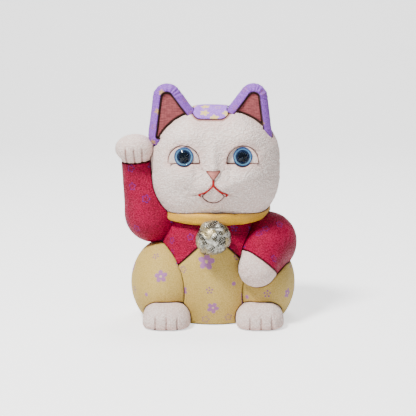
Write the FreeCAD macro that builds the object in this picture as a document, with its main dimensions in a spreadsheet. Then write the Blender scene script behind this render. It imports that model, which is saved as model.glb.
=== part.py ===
"""Beckoning cat figurine, fabric tucked into grooves (kimekomi) over a pressed wood-paste core.

Millimetres. +Z up, the cat faces -Y, and the origin is on the resting face under the torso's axis.
"right" and "left" are the cat's own sides: its right paw is raised and lies at -X.

A "form" is one sculpted shape. It is made twice: at its finished size, and smaller by the cover's
thickness, as the core. A cover is the layer between the two, trimmed to its own panel by the seams.
"""

import FreeCAD, Part
import Sketcher
import math
import os

from FreeCAD import Placement, Rotation, Vector

DRIVING_SIZES = {
    # crepe over thin wadding, bare cloth, and the cores' walls
    "cover": 2.0,
    "lining": 0.8,
    "core_wall": 8.0,
    # torso, a turned shape
    "torso_base_radius": 44.0,
    "torso_neck_radius": 40.0,
    "torso_arc_radius": 122.0,
    "torso_y": 1.0,
    "neck_height": 92.0,
    "waist_height": 48.0,
    "base_felt": 1.2,
    "hem_clearance": 0.4,
    # haunches and feet
    "thigh_x": 42.0,
    "thigh_y": -6.0,
    "thigh_height": 31.0,
    "thigh_half_width": 30.0,
    "thigh_half_depth": 44.0,
    "thigh_half_height": 38.0,
    "foot_x": 39.7,
    "foot_front": -68.0,
    "foot_width": 40.5,
    "foot_length": 50.0,
    "foot_height": 20.5,
    "foot_corner": 17.0,
    "foot_top_round": 14.0,
    "foot_sole_round": 4.5,
    # head
    "head_x": 1.8,
    "head_y": -3.0,
    "head_z": 133.5,
    "head_width": 112.0,
    "head_height": 103.0,
    "head_depth": 100.0,
    "head_corner": 44.0,
    "head_round": 42.0,
    # ears, a rounded triangle through three circles
    "ears_x": -2.5,
    "ear_tip_x": 36.8,
    "ear_tip_z": 193.3,
    "ear_tip_round": 12.2,
    "ear_outer_x": 43.6,
    "ear_outer_z": 161.0,
    "ear_inner_x": 18.5,
    "ear_inner_z": 173.4,
    "ear_base_round": 9.5,
    "ear_y": -20.0,
    "ear_thickness": 21.0,
    "ear_round": 8.5,
    "ear_rim": 7.4,
    "ear_recess": 3.0,
    # raised right arm
    "raised_shoulder_radius": 20.0,
    "raised_elbow_radius": 25.0,
    "raised_wrist_radius": 13.4,
    "raised_paw_half_width": 17.0,
    "raised_paw_half_depth": 17.0,
    "raised_paw_half_height": 12.4,
    # lowered left arm
    "lowered_shoulder_radius": 20.0,
    "lowered_elbow_radius": 26.4,
    "lowered_wrist_radius": 16.5,
    "lowered_paw_half_width": 16.4,
    "lowered_paw_half_depth": 13.5,
    "lowered_paw_half_height": 16.2,
    "elbow_step": 0.6,
    # collar roll and bell
    "collar_radius": 44.0,
    "collar_roll_radius": 5.2,
    "collar_y": -0.8,
    "collar_height": 95.2,
    "collar_pitch": 4.5,
    "bell_radius": 14.0,
    "bell_x": -0.3,
    "bell_y": -54.0,
    "bell_z": 77.0,
    # eyes
    "eye_x": 24.6,
    "eye_z": 145.4,
    "eye_radius": 8.1,
    "eye_dome_height": 5.0,
    "pupil_radius": 5.1,
    "pupil_disc": 0.4,
    "eye_disc": 0.8,
    "eye_depth": 4.2,
    "eye_opening_radius": 13.3,
    "eye_opening_z": 141.2,
    "eye_sill_z": 139.6,
    "eye_clearance": 0.2,
    "eye_stem_radius": 1.5,
    "eye_stem_length": 7.0,
    # nose, mouth and chin, on the front of the head
    "nose_half_width": 5.6,
    "nose_top_z": 132.8,
    "nose_bottom_z": 126.6,
    "nose_proud": 1.4,
    "mouth_centre_z": 121.6,
    "mouth_corner_x": 11.3,
    "mouth_corner_z": 114.2,
    "chin_half_width": 8.8,
    "chin_side_z": 111.4,
    "chin_z": 107.7,
    "cord_radius": 0.7,
    "cord_proud": 0.9,
    # lilac crown strip between the ears, and where the face meets the hood
    "crown_half_width": 14.0,
    "crown_back": 22.0,
    "hood_front_y": 6.0,
    "forehead_z": 175.5,
    "forehead_y": -38.0,
    "forehead_slope": 23.0,
    # jacket's cutaway front
    "jacket_point_x": 32.0,
    "jacket_point_z": 49.5,
    "jacket_peak_z": 80.0,
    # wooden dowels
    "neck_dowel_radius": 6.0,
    "neck_dowel_length": 44.0,
    "arm_dowel_radius": 4.0,
    "arm_dowel_length": 34.0,
    "dowel_clearance": 0.1,
}

# Centres of the arms' round masses: they are places in the sculpture and not sizes.
ARM_JOINTS = {
    "raised": {
        "shoulder": Vector(-31, 3, 82),
        "elbow": Vector(-52, -4, 91.5),
        "wrist": Vector(-66, -12, 139),
        "paw": Vector(-67, -19.5, 149.8),
    },
    "lowered": {
        "shoulder": Vector(36, 2, 74),
        "elbow": Vector(46.5, -9, 67),
        "wrist": Vector(40, -43, 54),
        "paw": Vector(37.4, -49.5, 50.8),
    },
}

# Planes where each sleeve ends and its paw begins; the normal points to the paw.
WRIST_SEAMS = {
    "raised": {"point": Vector(-66, -14, 138.8), "normal": Vector(-0.08, -0.12, 1)},
    "lowered": {"point": Vector(41, -44, 54.5), "normal": Vector(-0.59, -0.25, -0.77)},
}

UP = Vector(0, 0, 1)
FRONT = Vector(0, -1, 0)
FAR = 600.0  # cutting blocks are this large, well beyond the figure
SOCKET_REACH = 12.0  # the eye sockets' cutters start this far in front of the eyes

doc = FreeCAD.newDocument("BeckoningCat")
sheet = doc.addObject("Spreadsheet::Sheet", "Sizes")
for row, (alias, value) in enumerate(DRIVING_SIZES.items(), start=1):
    sheet.set(f"A{row}", alias)
    sheet.set(f"B{row}", str(value))
    sheet.setAlias(f"B{row}", alias)
worked = doc.addObject("Spreadsheet::Sheet", "Worked")
doc.recompute()


def value(expression):
    """What an expression such as "head_width / 2 - cloth" comes to."""
    worked.set("A1", "=" + in_sheet(expression))
    worked.recompute()
    return float(worked.get("A1"))


def bind(obj, **expressions):
    """Binds properties to expressions over the sheet's aliases."""
    for prop, expression in expressions.items():
        obj.setExpression(prop, in_sheet(expression))


def in_sheet(expression):
    """Puts the sheet's name before each alias in an expression."""
    words = []
    word = ""
    for letter in expression + " ":
        if letter.isalnum() or letter == "_":
            word += letter
            continue
        words.append(f"Sizes.{word}" if word in DRIVING_SIZES else word)
        words.append(letter)
        word = ""
    return "".join(words).strip()


# ---------------------------------------------------------------- building blocks


def place(obj, x="0", y="0", z="0"):
    """Binds the object's position to expressions."""
    obj.setExpression("Placement.Base.x", in_sheet(x))
    obj.setExpression("Placement.Base.y", in_sheet(y))
    obj.setExpression("Placement.Base.z", in_sheet(z))


def egg(name, half_width, half_depth, half_height, x, y, z):
    """An ellipsoid along the axes."""
    obj = doc.addObject("Part::Ellipsoid", name)
    bind(obj, Radius1=half_height, Radius2=half_width, Radius3=half_depth)
    place(obj, x, y, z)
    return obj


def ball(name, radius, x, y, z):
    obj = doc.addObject("Part::Sphere", name)
    bind(obj, Radius=radius)
    place(obj, x, y, z)
    return obj


def half_space(name, normal, x="0", y="0", z="0"):
    """A block as good as endless, on the side of a plane that the normal points to."""
    obj = doc.addObject("Part::Box", name)
    obj.Length = obj.Width = obj.Height = FAR
    turn = Rotation(Vector(0, 0, 1), normal)
    corner = turn.multVec(Vector(-FAR / 2, -FAR / 2, 0))
    obj.Placement = Placement(corner, turn)
    place(obj, f"({x}) + ({corner.x})", f"({y}) + ({corner.y})", f"({z}) + ({corner.z})")
    return obj


def slice_between(name, low, high):
    """A level slice of everything between two heights."""
    obj = doc.addObject("Part::Box", name)
    obj.Length = obj.Width = FAR
    bind(obj, Height=f"({high}) - ({low})")
    place(obj, str(-FAR / 2), str(-FAR / 2), low)
    return obj


def rod(name, radius, start, along, length):
    """A round rod from a point, along a direction."""
    obj = doc.addObject("Part::Cylinder", name)
    bind(obj, Radius=radius, Height=length)
    obj.Placement = Placement(start, Rotation(Vector(0, 0, 1), along))
    return obj


def disc(name, radius, length, x, y, z):
    """A round disc or rod whose axis is Y and whose front face is at y."""
    obj = doc.addObject("Part::Cylinder", name)
    bind(obj, Radius=radius, Height=length)
    obj.Placement = Placement(Vector(), Rotation(Vector(0, 0, 1), Vector(0, 1, 0)))
    place(obj, x, y, z)
    return obj


def new_sketch(body, name, role):
    plane = next(f for f in body.Origin.OriginFeatures if f.Role == role)
    sketch = body.newObject("Sketcher::SketchObject", name)
    sketch.AttachmentSupport = [(plane, "")]
    sketch.MapMode = "FlatFace"
    return sketch


def constrain(sketch, expression, kind, *where):
    """A dimension in a sketch, bound to an expression."""
    n = sketch.addConstraint(Sketcher.Constraint(kind, *where, value(expression)))
    sketch.setExpression(f"Constraints[{n}]", in_sheet(expression))


def fix_point(sketch, geometry, point, x, y):
    """Holds a point of the sketch at two expressions."""
    constrain(sketch, x, "DistanceX", -1, 1, geometry, point)
    constrain(sketch, y, "DistanceY", -1, 1, geometry, point)


def chain(sketch, kind, *ends):
    """Joins each pair of ends: (geometry, point, geometry, point)."""
    for end in ends:
        sketch.addConstraint(Sketcher.Constraint(kind, *end))


def tangent_outline(sketch, circles):
    """A closed outline drawn tightly round circles, (x, y, radius), taken counter-clockwise."""
    numbers = [[value(e) for e in circle] for circle in circles]
    count = len(circles)
    lines = []
    leans = []
    for i, (ax, ay, ar) in enumerate(numbers):
        bx, by, br = numbers[(i + 1) % count]
        run = math.hypot(bx - ax, by - ay)
        out = math.atan2(by - ay, bx - ax) - math.pi / 2 + math.asin((ar - br) / run)
        normal = Vector(math.cos(out), math.sin(out), 0)
        start = Vector(ax, ay, 0) + normal * ar
        end = Vector(bx, by, 0) + normal * br
        lines.append(sketch.addGeometry(Part.LineSegment(start, end)))
        leans.append(out)
    for i, (x, y, radius) in enumerate(numbers):
        turn = (leans[i] - leans[i - 1]) % (2 * math.pi)
        circle = Part.Circle(Vector(x, y, 0), Vector(0, 0, 1), radius)
        arc = sketch.addGeometry(Part.ArcOfCircle(circle, leans[i - 1], leans[i - 1] + turn))
        fix_point(sketch, arc, 3, circles[i][0], circles[i][1])
        constrain(sketch, circles[i][2], "Radius", arc)
        chain(sketch, "Tangent", (lines[i - 1], 2, arc, 1), (arc, 2, lines[i], 1))


def padded(name, plane, circles, depth):
    """A tangent outline padded to a depth, half to each side of its plane."""
    body = doc.addObject("PartDesign::Body", name)
    sketch = new_sketch(body, name + "_outline", plane)
    tangent_outline(sketch, circles)
    pad = body.newObject("PartDesign::Pad", name + "_pad")
    pad.Profile = sketch
    pad.Midplane = True
    bind(pad, Length=depth)
    doc.recompute()
    return body


def pillow(name, plane, circles, depth, rounds):
    """A padded outline whose two rims are rounded: (the low side's radius, the high side's)."""
    body = padded(name, plane, circles, depth)
    axis = Vector(0, 1, 0) if plane == "XZ_Plane" else Vector(0, 0, 1)
    for side, radius in zip((-1, 1), rounds):
        level = side * value(depth) / 2
        rim = [
            f"Edge{n}"
            for n, edge in enumerate(body.Shape.Edges, start=1)
            if all(abs(point.dot(axis) - level) < 1e-6 for point in edge.discretize(3))
        ]
        fillet = body.newObject("PartDesign::Fillet", f"{name}_{'high' if side > 0 else 'low'}")
        fillet.Base = (body.Tip, rim) if body.Tip is not fillet else (fillet.BaseFeature, rim)
        bind(fillet, Radius=radius)
        doc.recompute()
    return body


def turned(name, draw):
    """A body revolved about the vertical axis of the sketch that draw() fills."""
    body = doc.addObject("PartDesign::Body", name)
    sketch = new_sketch(body, name + "_profile", "XZ_Plane")
    draw(sketch)
    revolution = body.newObject("PartDesign::Revolution", name + "_turn")
    revolution.Profile = sketch
    revolution.ReferenceAxis = (sketch, ["V_Axis"])
    revolution.Angle = 360
    doc.recompute()
    return body


def round_cone(name, radius_a, radius_b, start, end):
    """Two balls and the cone that is tangent to both, as one turned body."""
    a, b = value(radius_a), value(radius_b)
    run = (end - start).Length
    lean = math.asin((a - b) / run)
    out = Vector(math.cos(lean), math.sin(lean), 0)

    def draw(sketch):
        z = Vector(0, 0, 1)
        lower = Part.ArcOfCircle(Part.Circle(Vector(), z, a), -math.pi / 2, lean)
        upper = Part.ArcOfCircle(Part.Circle(Vector(0, run, 0), z, b), lean, math.pi / 2)
        low = sketch.addGeometry(lower)
        side = sketch.addGeometry(Part.LineSegment(out * a, Vector(0, run, 0) + out * b))
        top = sketch.addGeometry(upper)
        axis = sketch.addGeometry(Part.LineSegment(Vector(0, run + b, 0), Vector(0, -a, 0)))
        fix_point(sketch, low, 3, "0", "0")
        fix_point(sketch, top, 3, "0", str(run))
        constrain(sketch, radius_a, "Radius", low)
        constrain(sketch, radius_b, "Radius", top)
        chain(sketch, "Tangent", (low, 2, side, 1), (side, 2, top, 1))
        chain(sketch, "Coincident", (top, 2, axis, 1), (axis, 2, low, 1))
        chain(sketch, "PointOnObject", (axis, 1, -2), (axis, 2, -2))

    body = turned(name, draw)
    body.Placement = Placement(start, Rotation(Vector(0, 0, 1), end - start))
    return body


def cookie(name, corners, front, depth):
    """A polygon of (x, z) expressions as a block that runs back along Y from its front."""
    body = doc.addObject("PartDesign::Body", name)
    sketch = new_sketch(body, name + "_outline", "XZ_Plane")
    points = [Vector(value(x), value(z), 0) for x, z in corners]
    count = len(points)
    for i, point in enumerate(points):
        sketch.addGeometry(Part.LineSegment(point, points[(i + 1) % count]))
    for i in range(count):
        chain(sketch, "Coincident", (i, 2, (i + 1) % count, 1))
        fix_point(sketch, i, 1, *corners[i])
    pad = body.newObject("PartDesign::Pad", name + "_pad")
    pad.Profile = sketch
    pad.Midplane = True
    bind(pad, Length=depth)
    doc.recompute()
    place(body, y=f"({front}) + ({depth}) / 2")
    return body


def cut(name, base, *tools):
    """base less every tool, one after another."""
    for n, tool in enumerate(tools, start=1):
        obj = doc.addObject("Part::Cut", name if n == len(tools) else f"{name}_{n}")
        obj.Base = base
        obj.Tool = tool
        base = obj
    return base


def common(name, *shapes):
    obj = doc.addObject("Part::MultiCommon", name)
    obj.Shapes = list(shapes)
    return obj


def fuse(name, *shapes):
    obj = doc.addObject("Part::MultiFuse", name)
    obj.Shapes = list(shapes)
    return obj


# ---------------------------------------------------------------- the sculpted forms


def torso_form(name, inset):
    """The turned body: a flat foot, and one bulging arc up to the neck."""
    low = f"torso_base_radius - ({inset})"
    high = f"torso_neck_radius - ({inset})"
    bulge = f"torso_arc_radius - ({inset})"

    def draw(sketch):
        a = Vector(value(low), 0, 0)
        b = Vector(value(high), value("neck_height"), 0)
        radius = value(bulge)
        half = (b - a).Length / 2
        inward = Vector(-(b - a).y, (b - a).x, 0).normalize()
        centre = (a + b) * 0.5 + inward * math.sqrt(radius**2 - half**2)
        first, last = (math.atan2(p.y - centre.y, p.x - centre.x) for p in (a, b))
        circle = Part.Circle(centre, Vector(0, 0, 1), radius)
        top = Vector(0, b.y, 0)
        foot = sketch.addGeometry(Part.LineSegment(Vector(), a))
        arc = sketch.addGeometry(Part.ArcOfCircle(circle, first, last))
        neck = sketch.addGeometry(Part.LineSegment(b, top))
        axis = sketch.addGeometry(Part.LineSegment(top, Vector()))
        chain(sketch, "Coincident", (foot, 2, arc, 1), (arc, 2, neck, 1))
        chain(sketch, "Coincident", (neck, 2, axis, 1), (axis, 2, foot, 1))
        fix_point(sketch, foot, 1, "0", "0")
        fix_point(sketch, foot, 2, low, "0")
        fix_point(sketch, neck, 1, high, "neck_height")
        fix_point(sketch, neck, 2, "0", "neck_height")
        constrain(sketch, bulge, "Radius", arc)

    body = turned(name, draw)
    place(body, y="torso_y")
    return body


def thigh_form(name, side, inset):
    halves = [f"thigh_half_{way} - ({inset})" for way in ("width", "depth", "height")]
    return egg(name, *halves, f"{side} * thigh_x", "thigh_y", "thigh_height")


def rounded_square(half_width, half_height, corner, inset):
    """Four corner circles, counter-clockwise, with the whole outline inset."""
    turns = [(1, -1), (1, 1), (-1, 1), (-1, -1)]
    across = f"({half_width} - {corner})"
    up = f"({half_height} - {corner})"
    return [(f"{i} * {across}", f"{j} * {up}", f"{corner} - ({inset})") for i, j in turns]


def foot_form(name, side, inset):
    circles = rounded_square("foot_width / 2", "foot_length / 2", "foot_corner", inset)
    height = f"foot_height - ({inset})"
    rounds = (f"foot_sole_round - ({inset}) / 2", f"foot_top_round - ({inset})")
    body = pillow(name, "XY_Plane", circles, height, rounds)
    place(body, f"{side} * foot_x", "foot_front + foot_length / 2", f"({height}) / 2")
    return body


def head_form(name, inset):
    circles = rounded_square("head_width / 2", "head_height / 2", "head_corner", inset)
    rounds = [f"head_round - ({inset})"] * 2
    body = pillow(name, "XZ_Plane", circles, f"head_depth - 2 * ({inset})", rounds)
    place(body, "head_x", "head_y", "head_z")
    return body


def ear_circles(side, inset):
    """The ear's three circles, counter-clockwise on either side."""
    tip = (f"{side} * ear_tip_x", "ear_tip_z", f"ear_tip_round - ({inset})")
    outer = (f"{side} * ear_outer_x", "ear_outer_z", f"ear_base_round - ({inset})")
    inner = (f"{side} * ear_inner_x", "ear_inner_z", f"ear_base_round - ({inset})")
    return [outer, tip, inner] if side > 0 else [inner, tip, outer]


def ear_form(name, side, inset):
    rounds = [f"ear_round - ({inset})"] * 2
    circles = ear_circles(side, inset)
    body = pillow(name, "XZ_Plane", circles, f"ear_thickness - 2 * ({inset})", rounds)
    place(body, "ears_x", "ear_y")
    return body


def arm_form(name, arm, inset):
    """Upper arm, forearm and paw. The upper arm is a little slimmer at the elbow it shares."""
    shoulder, elbow, wrist = (f"{arm}_{joint}_radius" for joint in ("shoulder", "elbow", "wrist"))
    at = ARM_JOINTS[arm]
    upper = round_cone(
        name + "_upper",
        f"{shoulder} - ({inset})",
        f"{elbow} - elbow_step - ({inset})",
        at["shoulder"],
        at["elbow"],
    )
    lower = round_cone(
        name + "_forearm",
        f"{elbow} - ({inset})",
        f"{wrist} - ({inset})",
        at["elbow"],
        at["wrist"],
    )
    halves = [f"{arm}_paw_half_{way} - ({inset})" for way in ("width", "depth", "height")]
    paw = egg(name + "_paw", *halves, *(str(c) for c in at["paw"]))
    return fuse(name, upper, lower, paw)


# ---------------------------------------------------------------- whole masses, solid

pieces = []


def piece(obj, label):
    """Marks an object as one of the figurine's pieces."""
    obj.Label = label
    pieces.append(obj)
    return obj


SIDES = {"right": -1, "left": 1}

torso = torso_form("TorsoSkin", "0")
torso_core = torso_form("TorsoCore", "cover")
thighs = [thigh_form(f"Thigh_{s}", n, "0") for s, n in SIDES.items()]
thigh_cores = [thigh_form(f"ThighCore_{s}", n, "cover") for s, n in SIDES.items()]
feet = [foot_form(f"Foot_{s}", n, "0") for s, n in SIDES.items()]
foot_cores = [foot_form(f"FootCore_{s}", n, "cover") for s, n in SIDES.items()]
head = head_form("HeadSkin", "0")
head_mass = head_form("HeadMass", "cover")
ears = [ear_form(f"Ear_{s}", n, "0") for s, n in SIDES.items()]
ear_cores = [ear_form(f"EarCore_{s}", n, "cover") for s, n in SIDES.items()]
arms = {arm: arm_form(f"Arm_{arm}", arm, "0") for arm in ARM_JOINTS}
arm_cores = {arm: arm_form(f"ArmCore_{arm}", arm, "cover") for arm in ARM_JOINTS}
bell = ball("BellSkin", "bell_radius", "bell_x", "bell_y", "bell_z")

above_floor = half_space("AboveFloor", UP, z="hem_clearance")
above_neck = half_space("AboveNeck", UP, z="neck_height")
in_front = half_space("InFront", FRONT, y="torso_y")
body_mass = fuse("BodyMass", torso_core, *thigh_cores, *foot_cores)
head_core_mass = fuse("HeadCoreMass", head_mass, *ear_cores)
head_all = fuse("HeadAll", head, *ears)

# ---------------------------------------------------------------- body core, felt and dowels

body_void = torso_form("BodyVoid", "cover + core_wall")
body_void_slice = slice_between(
    "BodyVoidSlice", "base_felt + core_wall", "neck_height - core_wall"
)
body_hollow = common("BodyHollow", body_void, body_void_slice)
core_slice = slice_between("CoreSlice", "base_felt", "neck_height")
body_solid = common("BodySolid", body_mass, core_slice)

neck_dowel = rod(
    "NeckDowel", "neck_dowel_radius", Vector(), UP, "neck_dowel_length"
)
neck_hole = rod(
    "NeckHole", "neck_dowel_radius + dowel_clearance", Vector(), UP, "neck_dowel_length"
)
for obj in (neck_dowel, neck_hole):
    place(obj, "head_x / 2", "head_y / 2", "neck_height - neck_dowel_length / 2")
piece(neck_dowel, "neck_dowel")

arm_holes = {}
for arm, at in ARM_JOINTS.items():
    along = at["elbow"] - at["shoulder"]
    dowel = rod(f"ArmDowel_{arm}", "arm_dowel_radius", at["shoulder"], along, "arm_dowel_length")
    piece(cut(f"ArmDowelTrimmed_{arm}", dowel, head_all), f"{arm}_arm_dowel")
    arm_holes[arm] = rod(
        f"ArmHole_{arm}",
        "arm_dowel_radius + dowel_clearance",
        at["shoulder"],
        along,
        "arm_dowel_length + dowel_clearance",
    )

body_core = cut(
    "BodyCore", body_solid, body_hollow, neck_hole, bell, *arm_holes.values()
)
piece(common("BodyCoreFront", body_core, in_front), "body_core_front")
piece(cut("BodyCoreRear", body_core, in_front), "body_core_rear")

felt_slice = slice_between("FeltSlice", "0", "base_felt")
piece(common("BaseFelt", body_mass, felt_slice), "base_felt")

# ---------------------------------------------------------------- feet, thighs and torso cloth

for (side, n), foot, thigh in zip(SIDES.items(), feet, thighs):
    cloth = cut(f"FootCover_{side}", foot, body_mass)
    piece(common(f"FootCover_{side}_Hem", cloth, above_floor), f"{side}_foot_cover")
    cloth = cut(f"ThighCover_{side}", thigh, body_mass, *feet, *arms.values())
    piece(common(f"ThighCover_{side}_Hem", cloth, above_floor), f"{side}_thigh_cover")

torso_layer = cut(
    "TorsoLayer", torso, body_mass, *thighs, *feet, *arms.values(), bell
)
belly_corners = [
    (str(-FAR / 2), str(-FAR / 2)),
    (str(FAR / 2), str(-FAR / 2)),
    (str(FAR / 2), "waist_height"),
    ("jacket_point_x", "jacket_point_z"),
    ("0", "jacket_peak_z"),
    ("-jacket_point_x", "jacket_point_z"),
    (str(-FAR / 2), "waist_height"),
]
belly_front = cookie("BellyFront", belly_corners, f"torso_y - {FAR}", str(FAR))
below_waist = half_space("BelowWaist", -UP, z="waist_height")
right_half = half_space("RightHalf", Vector(-1, 0, 0))
lower_cloth = common("LowerCloth", torso_layer, above_floor)
piece(common("BellyCover", lower_cloth, belly_front), "belly_cover")
seat = common("SeatBand", lower_cloth, below_waist)
piece(cut("SeatCover", seat, in_front), "seat_cover")
jacket_front = common("JacketFront", torso_layer, in_front)
jacket_front_trimmed = cut("JacketFrontTrimmed", jacket_front, belly_front)
piece(common("JacketFrontRight", jacket_front_trimmed, right_half), "right_jacket_front")
piece(cut("JacketFrontLeft", jacket_front_trimmed, right_half), "left_jacket_front")
piece(cut("JacketBack", torso_layer, in_front, below_waist), "jacket_back")

# ---------------------------------------------------------------- arms

for arm in ARM_JOINTS:
    solid = cut(f"ArmSolid_{arm}", arm_cores[arm], body_solid, head_all, arm_holes[arm], bell)
    piece(solid, f"{arm}_arm_core")
    cloth = cut(f"ArmCloth_{arm}", arms[arm], arm_cores[arm], body_solid, head_all, bell)
    wrist = WRIST_SEAMS[arm]
    beyond = half_space(f"BeyondWrist_{arm}", wrist["normal"], *(str(c) for c in wrist["point"]))
    piece(cut(f"Sleeve_{arm}", cloth, beyond), f"{arm}_sleeve")
    piece(common(f"PawCover_{arm}", cloth, beyond), f"{arm}_paw_cover")

# ---------------------------------------------------------------- head core

eye_plane = "head_y - head_depth / 2 + eye_depth"
sockets = []
eye_bores = []
for side, n in SIDES.items():
    x = f"{n} * eye_x"
    front = f"({eye_plane}) - {SOCKET_REACH}"
    opening = disc(
        f"EyeOpening_{side}", "eye_opening_radius", f"{SOCKET_REACH} + lining", x, front, "eye_opening_z"
    )
    above_sill = half_space(f"AboveSill_{side}", UP, z="eye_sill_z")
    lens = common(f"EyeLens_{side}", opening, above_sill)
    well = disc(
        f"EyeWell_{side}", "eye_radius + eye_clearance", f"{SOCKET_REACH} + lining", x, front, "eye_z"
    )
    sockets.append(fuse(f"EyeSocket_{side}", lens, well))
    eye_bores.append(
        disc(f"EyeBore_{side}", "eye_stem_radius", "eye_stem_length", x, eye_plane, "eye_z")
    )

ear_front = "ear_y - ear_thickness / 2"
recesses = []
recess_floors = []
for side, n in SIDES.items():
    circles = ear_circles(n, "ear_rim")
    for kept, deeper in ((recesses, "0"), (recess_floors, "lining")):
        depth = f"2 * (ear_recess + {deeper})"
        recess = padded(f"EarRecess_{side}_{deeper}", "XZ_Plane", circles, depth)
        place(recess, "ears_x", ear_front)
        kept.append(recess)

head_void = head_form("HeadVoid", "cover + core_wall")
head_void_slice = slice_between(
    "HeadVoidSlice", "neck_height + core_wall", "head_z + head_height"
)
head_hollow = common("HeadHollow", head_void, head_void_slice)
head_solid = common("HeadSolid", head_core_mass, above_neck)
head_core = cut(
    "HeadCore", head_solid, head_hollow, neck_hole, *sockets, *eye_bores, *recess_floors
)
head_front_half = half_space("HeadFrontHalf", FRONT, y="hood_front_y")
piece(common("HeadCoreFront", head_core, head_front_half), "head_core_front")
piece(cut("HeadCoreRear", head_core, head_front_half), "head_core_rear")

# ---------------------------------------------------------------- face and hood cloth

ear_bodies = [cut(f"{ear.Name}_Body", ear, floor) for ear, floor in zip(ears, recess_floors)]
head_layer = cut("HeadLayer", head, head_core_mass, *ear_bodies)
head_cloth = common("HeadCloth", head_layer, above_neck)
slope = math.radians(value("forehead_slope"))
below_forehead = half_space(
    "BelowForehead", Vector(0, -math.sin(slope), -math.cos(slope)), y="forehead_y", z="forehead_z"
)
face_cloth = common("FaceCloth", head_cloth, head_front_half, below_forehead)
chin_corners = [
    ("0", "mouth_centre_z"),
    ("-chin_half_width", "chin_side_z"),
    ("0", "chin_z"),
    ("chin_half_width", "chin_side_z"),
]
chin = cookie("ChinOutline", chin_corners, str(-FAR), str(FAR))
piece(cut("FaceCover", face_cloth, chin, *sockets), "face_cover")
piece(common("ChinPatch", face_cloth, chin), "chin_patch")

face_region = common("FaceRegion", head_front_half, below_forehead)
hood = cut("Hood", head_cloth, face_region)
crown_block = doc.addObject("Part::Box", "CrownBlock")
bind(crown_block, Length="2 * crown_half_width")
crown_block.Width = crown_block.Height = FAR
place(crown_block, "ears_x - crown_half_width", f"crown_back - {FAR}", "head_z")
piece(common("HoodCrown", hood, crown_block), "hood_crown")
piece(cut("HoodBack", hood, crown_block), "hood_back")

for side, ear, body, recess, floor in zip(SIDES, ears, ear_bodies, recesses, recess_floors):
    piece(cut(f"EarCover_{side}", body, head_core_mass), f"{side}_ear_cover")
    plate = cut(f"EarPlate_{side}", floor, recess)
    within = common(f"EarPlateWithin_{side}", plate, ear)
    piece(cut(f"EarInner_{side}", within, head), f"{side}_ear_inner")

# ---------------------------------------------------------------- eyes, nose and mouth

for (side, n), socket, bore in zip(SIDES.items(), sockets, eye_bores):
    x = f"{n} * eye_x"
    behind_eye = half_space(f"BehindEye_{side}", Vector(0, 1, 0), y=eye_plane)
    white = common(f"EyeWhiteBlank_{side}", socket, behind_eye)
    piece(cut(f"EyeWhite_{side}", white, bore), f"{side}_eye_white")
    iris_front = f"{eye_plane} - eye_disc"
    iris = disc(f"Iris_{side}", "eye_radius", "eye_disc", x, iris_front, "eye_z")
    piece(iris, f"{side}_eye_iris")
    pupil_front = f"{iris_front} - pupil_disc"
    pupil = disc(f"Pupil_{side}", "pupil_radius", "pupil_disc", x, pupil_front, "eye_z")
    piece(pupil, f"{side}_eye_pupil")
    piece(bore, f"{side}_eye_stem")
    dome_radius = "(eye_radius ^ 2 + eye_dome_height ^ 2) / (2 * eye_dome_height)"
    dome_y = f"{iris_front} - eye_dome_height + {dome_radius}"
    dome_ball = ball(f"DomeBall_{side}", dome_radius, x, dome_y, "eye_z")
    before_iris = half_space(f"BeforeIris_{side}", FRONT, y=iris_front)
    cap = common(f"DomeCap_{side}", dome_ball, before_iris)
    piece(cut(f"EyeGlass_{side}", cap, pupil), f"{side}_eye_glass")

nose_corners = [
    ("-nose_half_width", "nose_top_z"),
    ("0", "nose_bottom_z"),
    ("nose_half_width", "nose_top_z"),
]
nose_outline = cookie("NoseOutline", nose_corners, str(-FAR), str(FAR))
nose_swell = head_form("NoseSwell", "-nose_proud")
nose_raised = common("NoseRaised", nose_swell, nose_outline)
piece(cut("NosePatch", nose_raised, head), "nose_patch")

cord_swell = head_form("CordSwell", "-cord_proud")
for side, n in SIDES.items():
    ends = [("0", "mouth_centre_z", "cord_radius")]
    ends.append((f"{n} * mouth_corner_x", "mouth_corner_z", "cord_radius"))
    band = padded(f"MouthBand_{side}", "XZ_Plane", ends, str(FAR))
    place(band, y=str(-FAR / 2))
    raised = common(f"MouthRaised_{side}", cord_swell, band)
    lowest = half_space(f"MouthSide_{side}", Vector(n, 0, 0))
    trimmed = cut(f"MouthTrimmed_{side}", raised, head)
    piece(common(f"MouthCord_{side}", trimmed, lowest), f"{side}_mouth_cord")

# ---------------------------------------------------------------- collar roll and bell

ring = doc.addObject("Part::Torus", "CollarRing")
bind(ring, Radius1="collar_radius", Radius2="collar_roll_radius")
ring.setExpression("Placement.Rotation.Angle", in_sheet("collar_pitch"))
ring.Placement.Rotation = Rotation(Vector(1, 0, 0), value("collar_pitch"))
place(ring, "head_x", "collar_y", "collar_height")
piece(cut("CollarRoll", ring, head_all, torso, bell, *arms.values()), "collar_roll")

bell_core = ball("BellCore", "bell_radius - lining", "bell_x", "bell_y", "bell_z")
piece(bell_core, "bell_core")
piece(cut("BellCover", bell, bell_core), "bell_cover")

# ---------------------------------------------------------------- check and write

doc.recompute()
for obj in doc.Objects:
    if {"Invalid", "Error"} & set(obj.State):
        raise RuntimeError(f"{obj.Name} failed: {obj.State}")
for obj in pieces:
    if obj.Shape.isNull() or not obj.Shape.isValid() or not obj.Shape.Solids:
        raise RuntimeError(f"{obj.Label} has no sound solid")

os.makedirs("parts", exist_ok=True)
for obj in pieces:
    obj.Shape.exportStep(f"parts/{obj.Label}.step")
print(f"{len(pieces)} pieces written")
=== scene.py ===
"""Looks of the beckoning cat figurine: puckered crepe stretched over a core and tucked into grooves.

Shapes are worked out in millimetres as distance fields and meshed; objects are in metres. +Z is up,
the cat faces -Y, and "right" and "left" are the cat's own. Each cloth cover is a closed panel 2 mm
thick whose edge rolls down into the groove that it shares with its neighbour.
"""

import math

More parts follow.
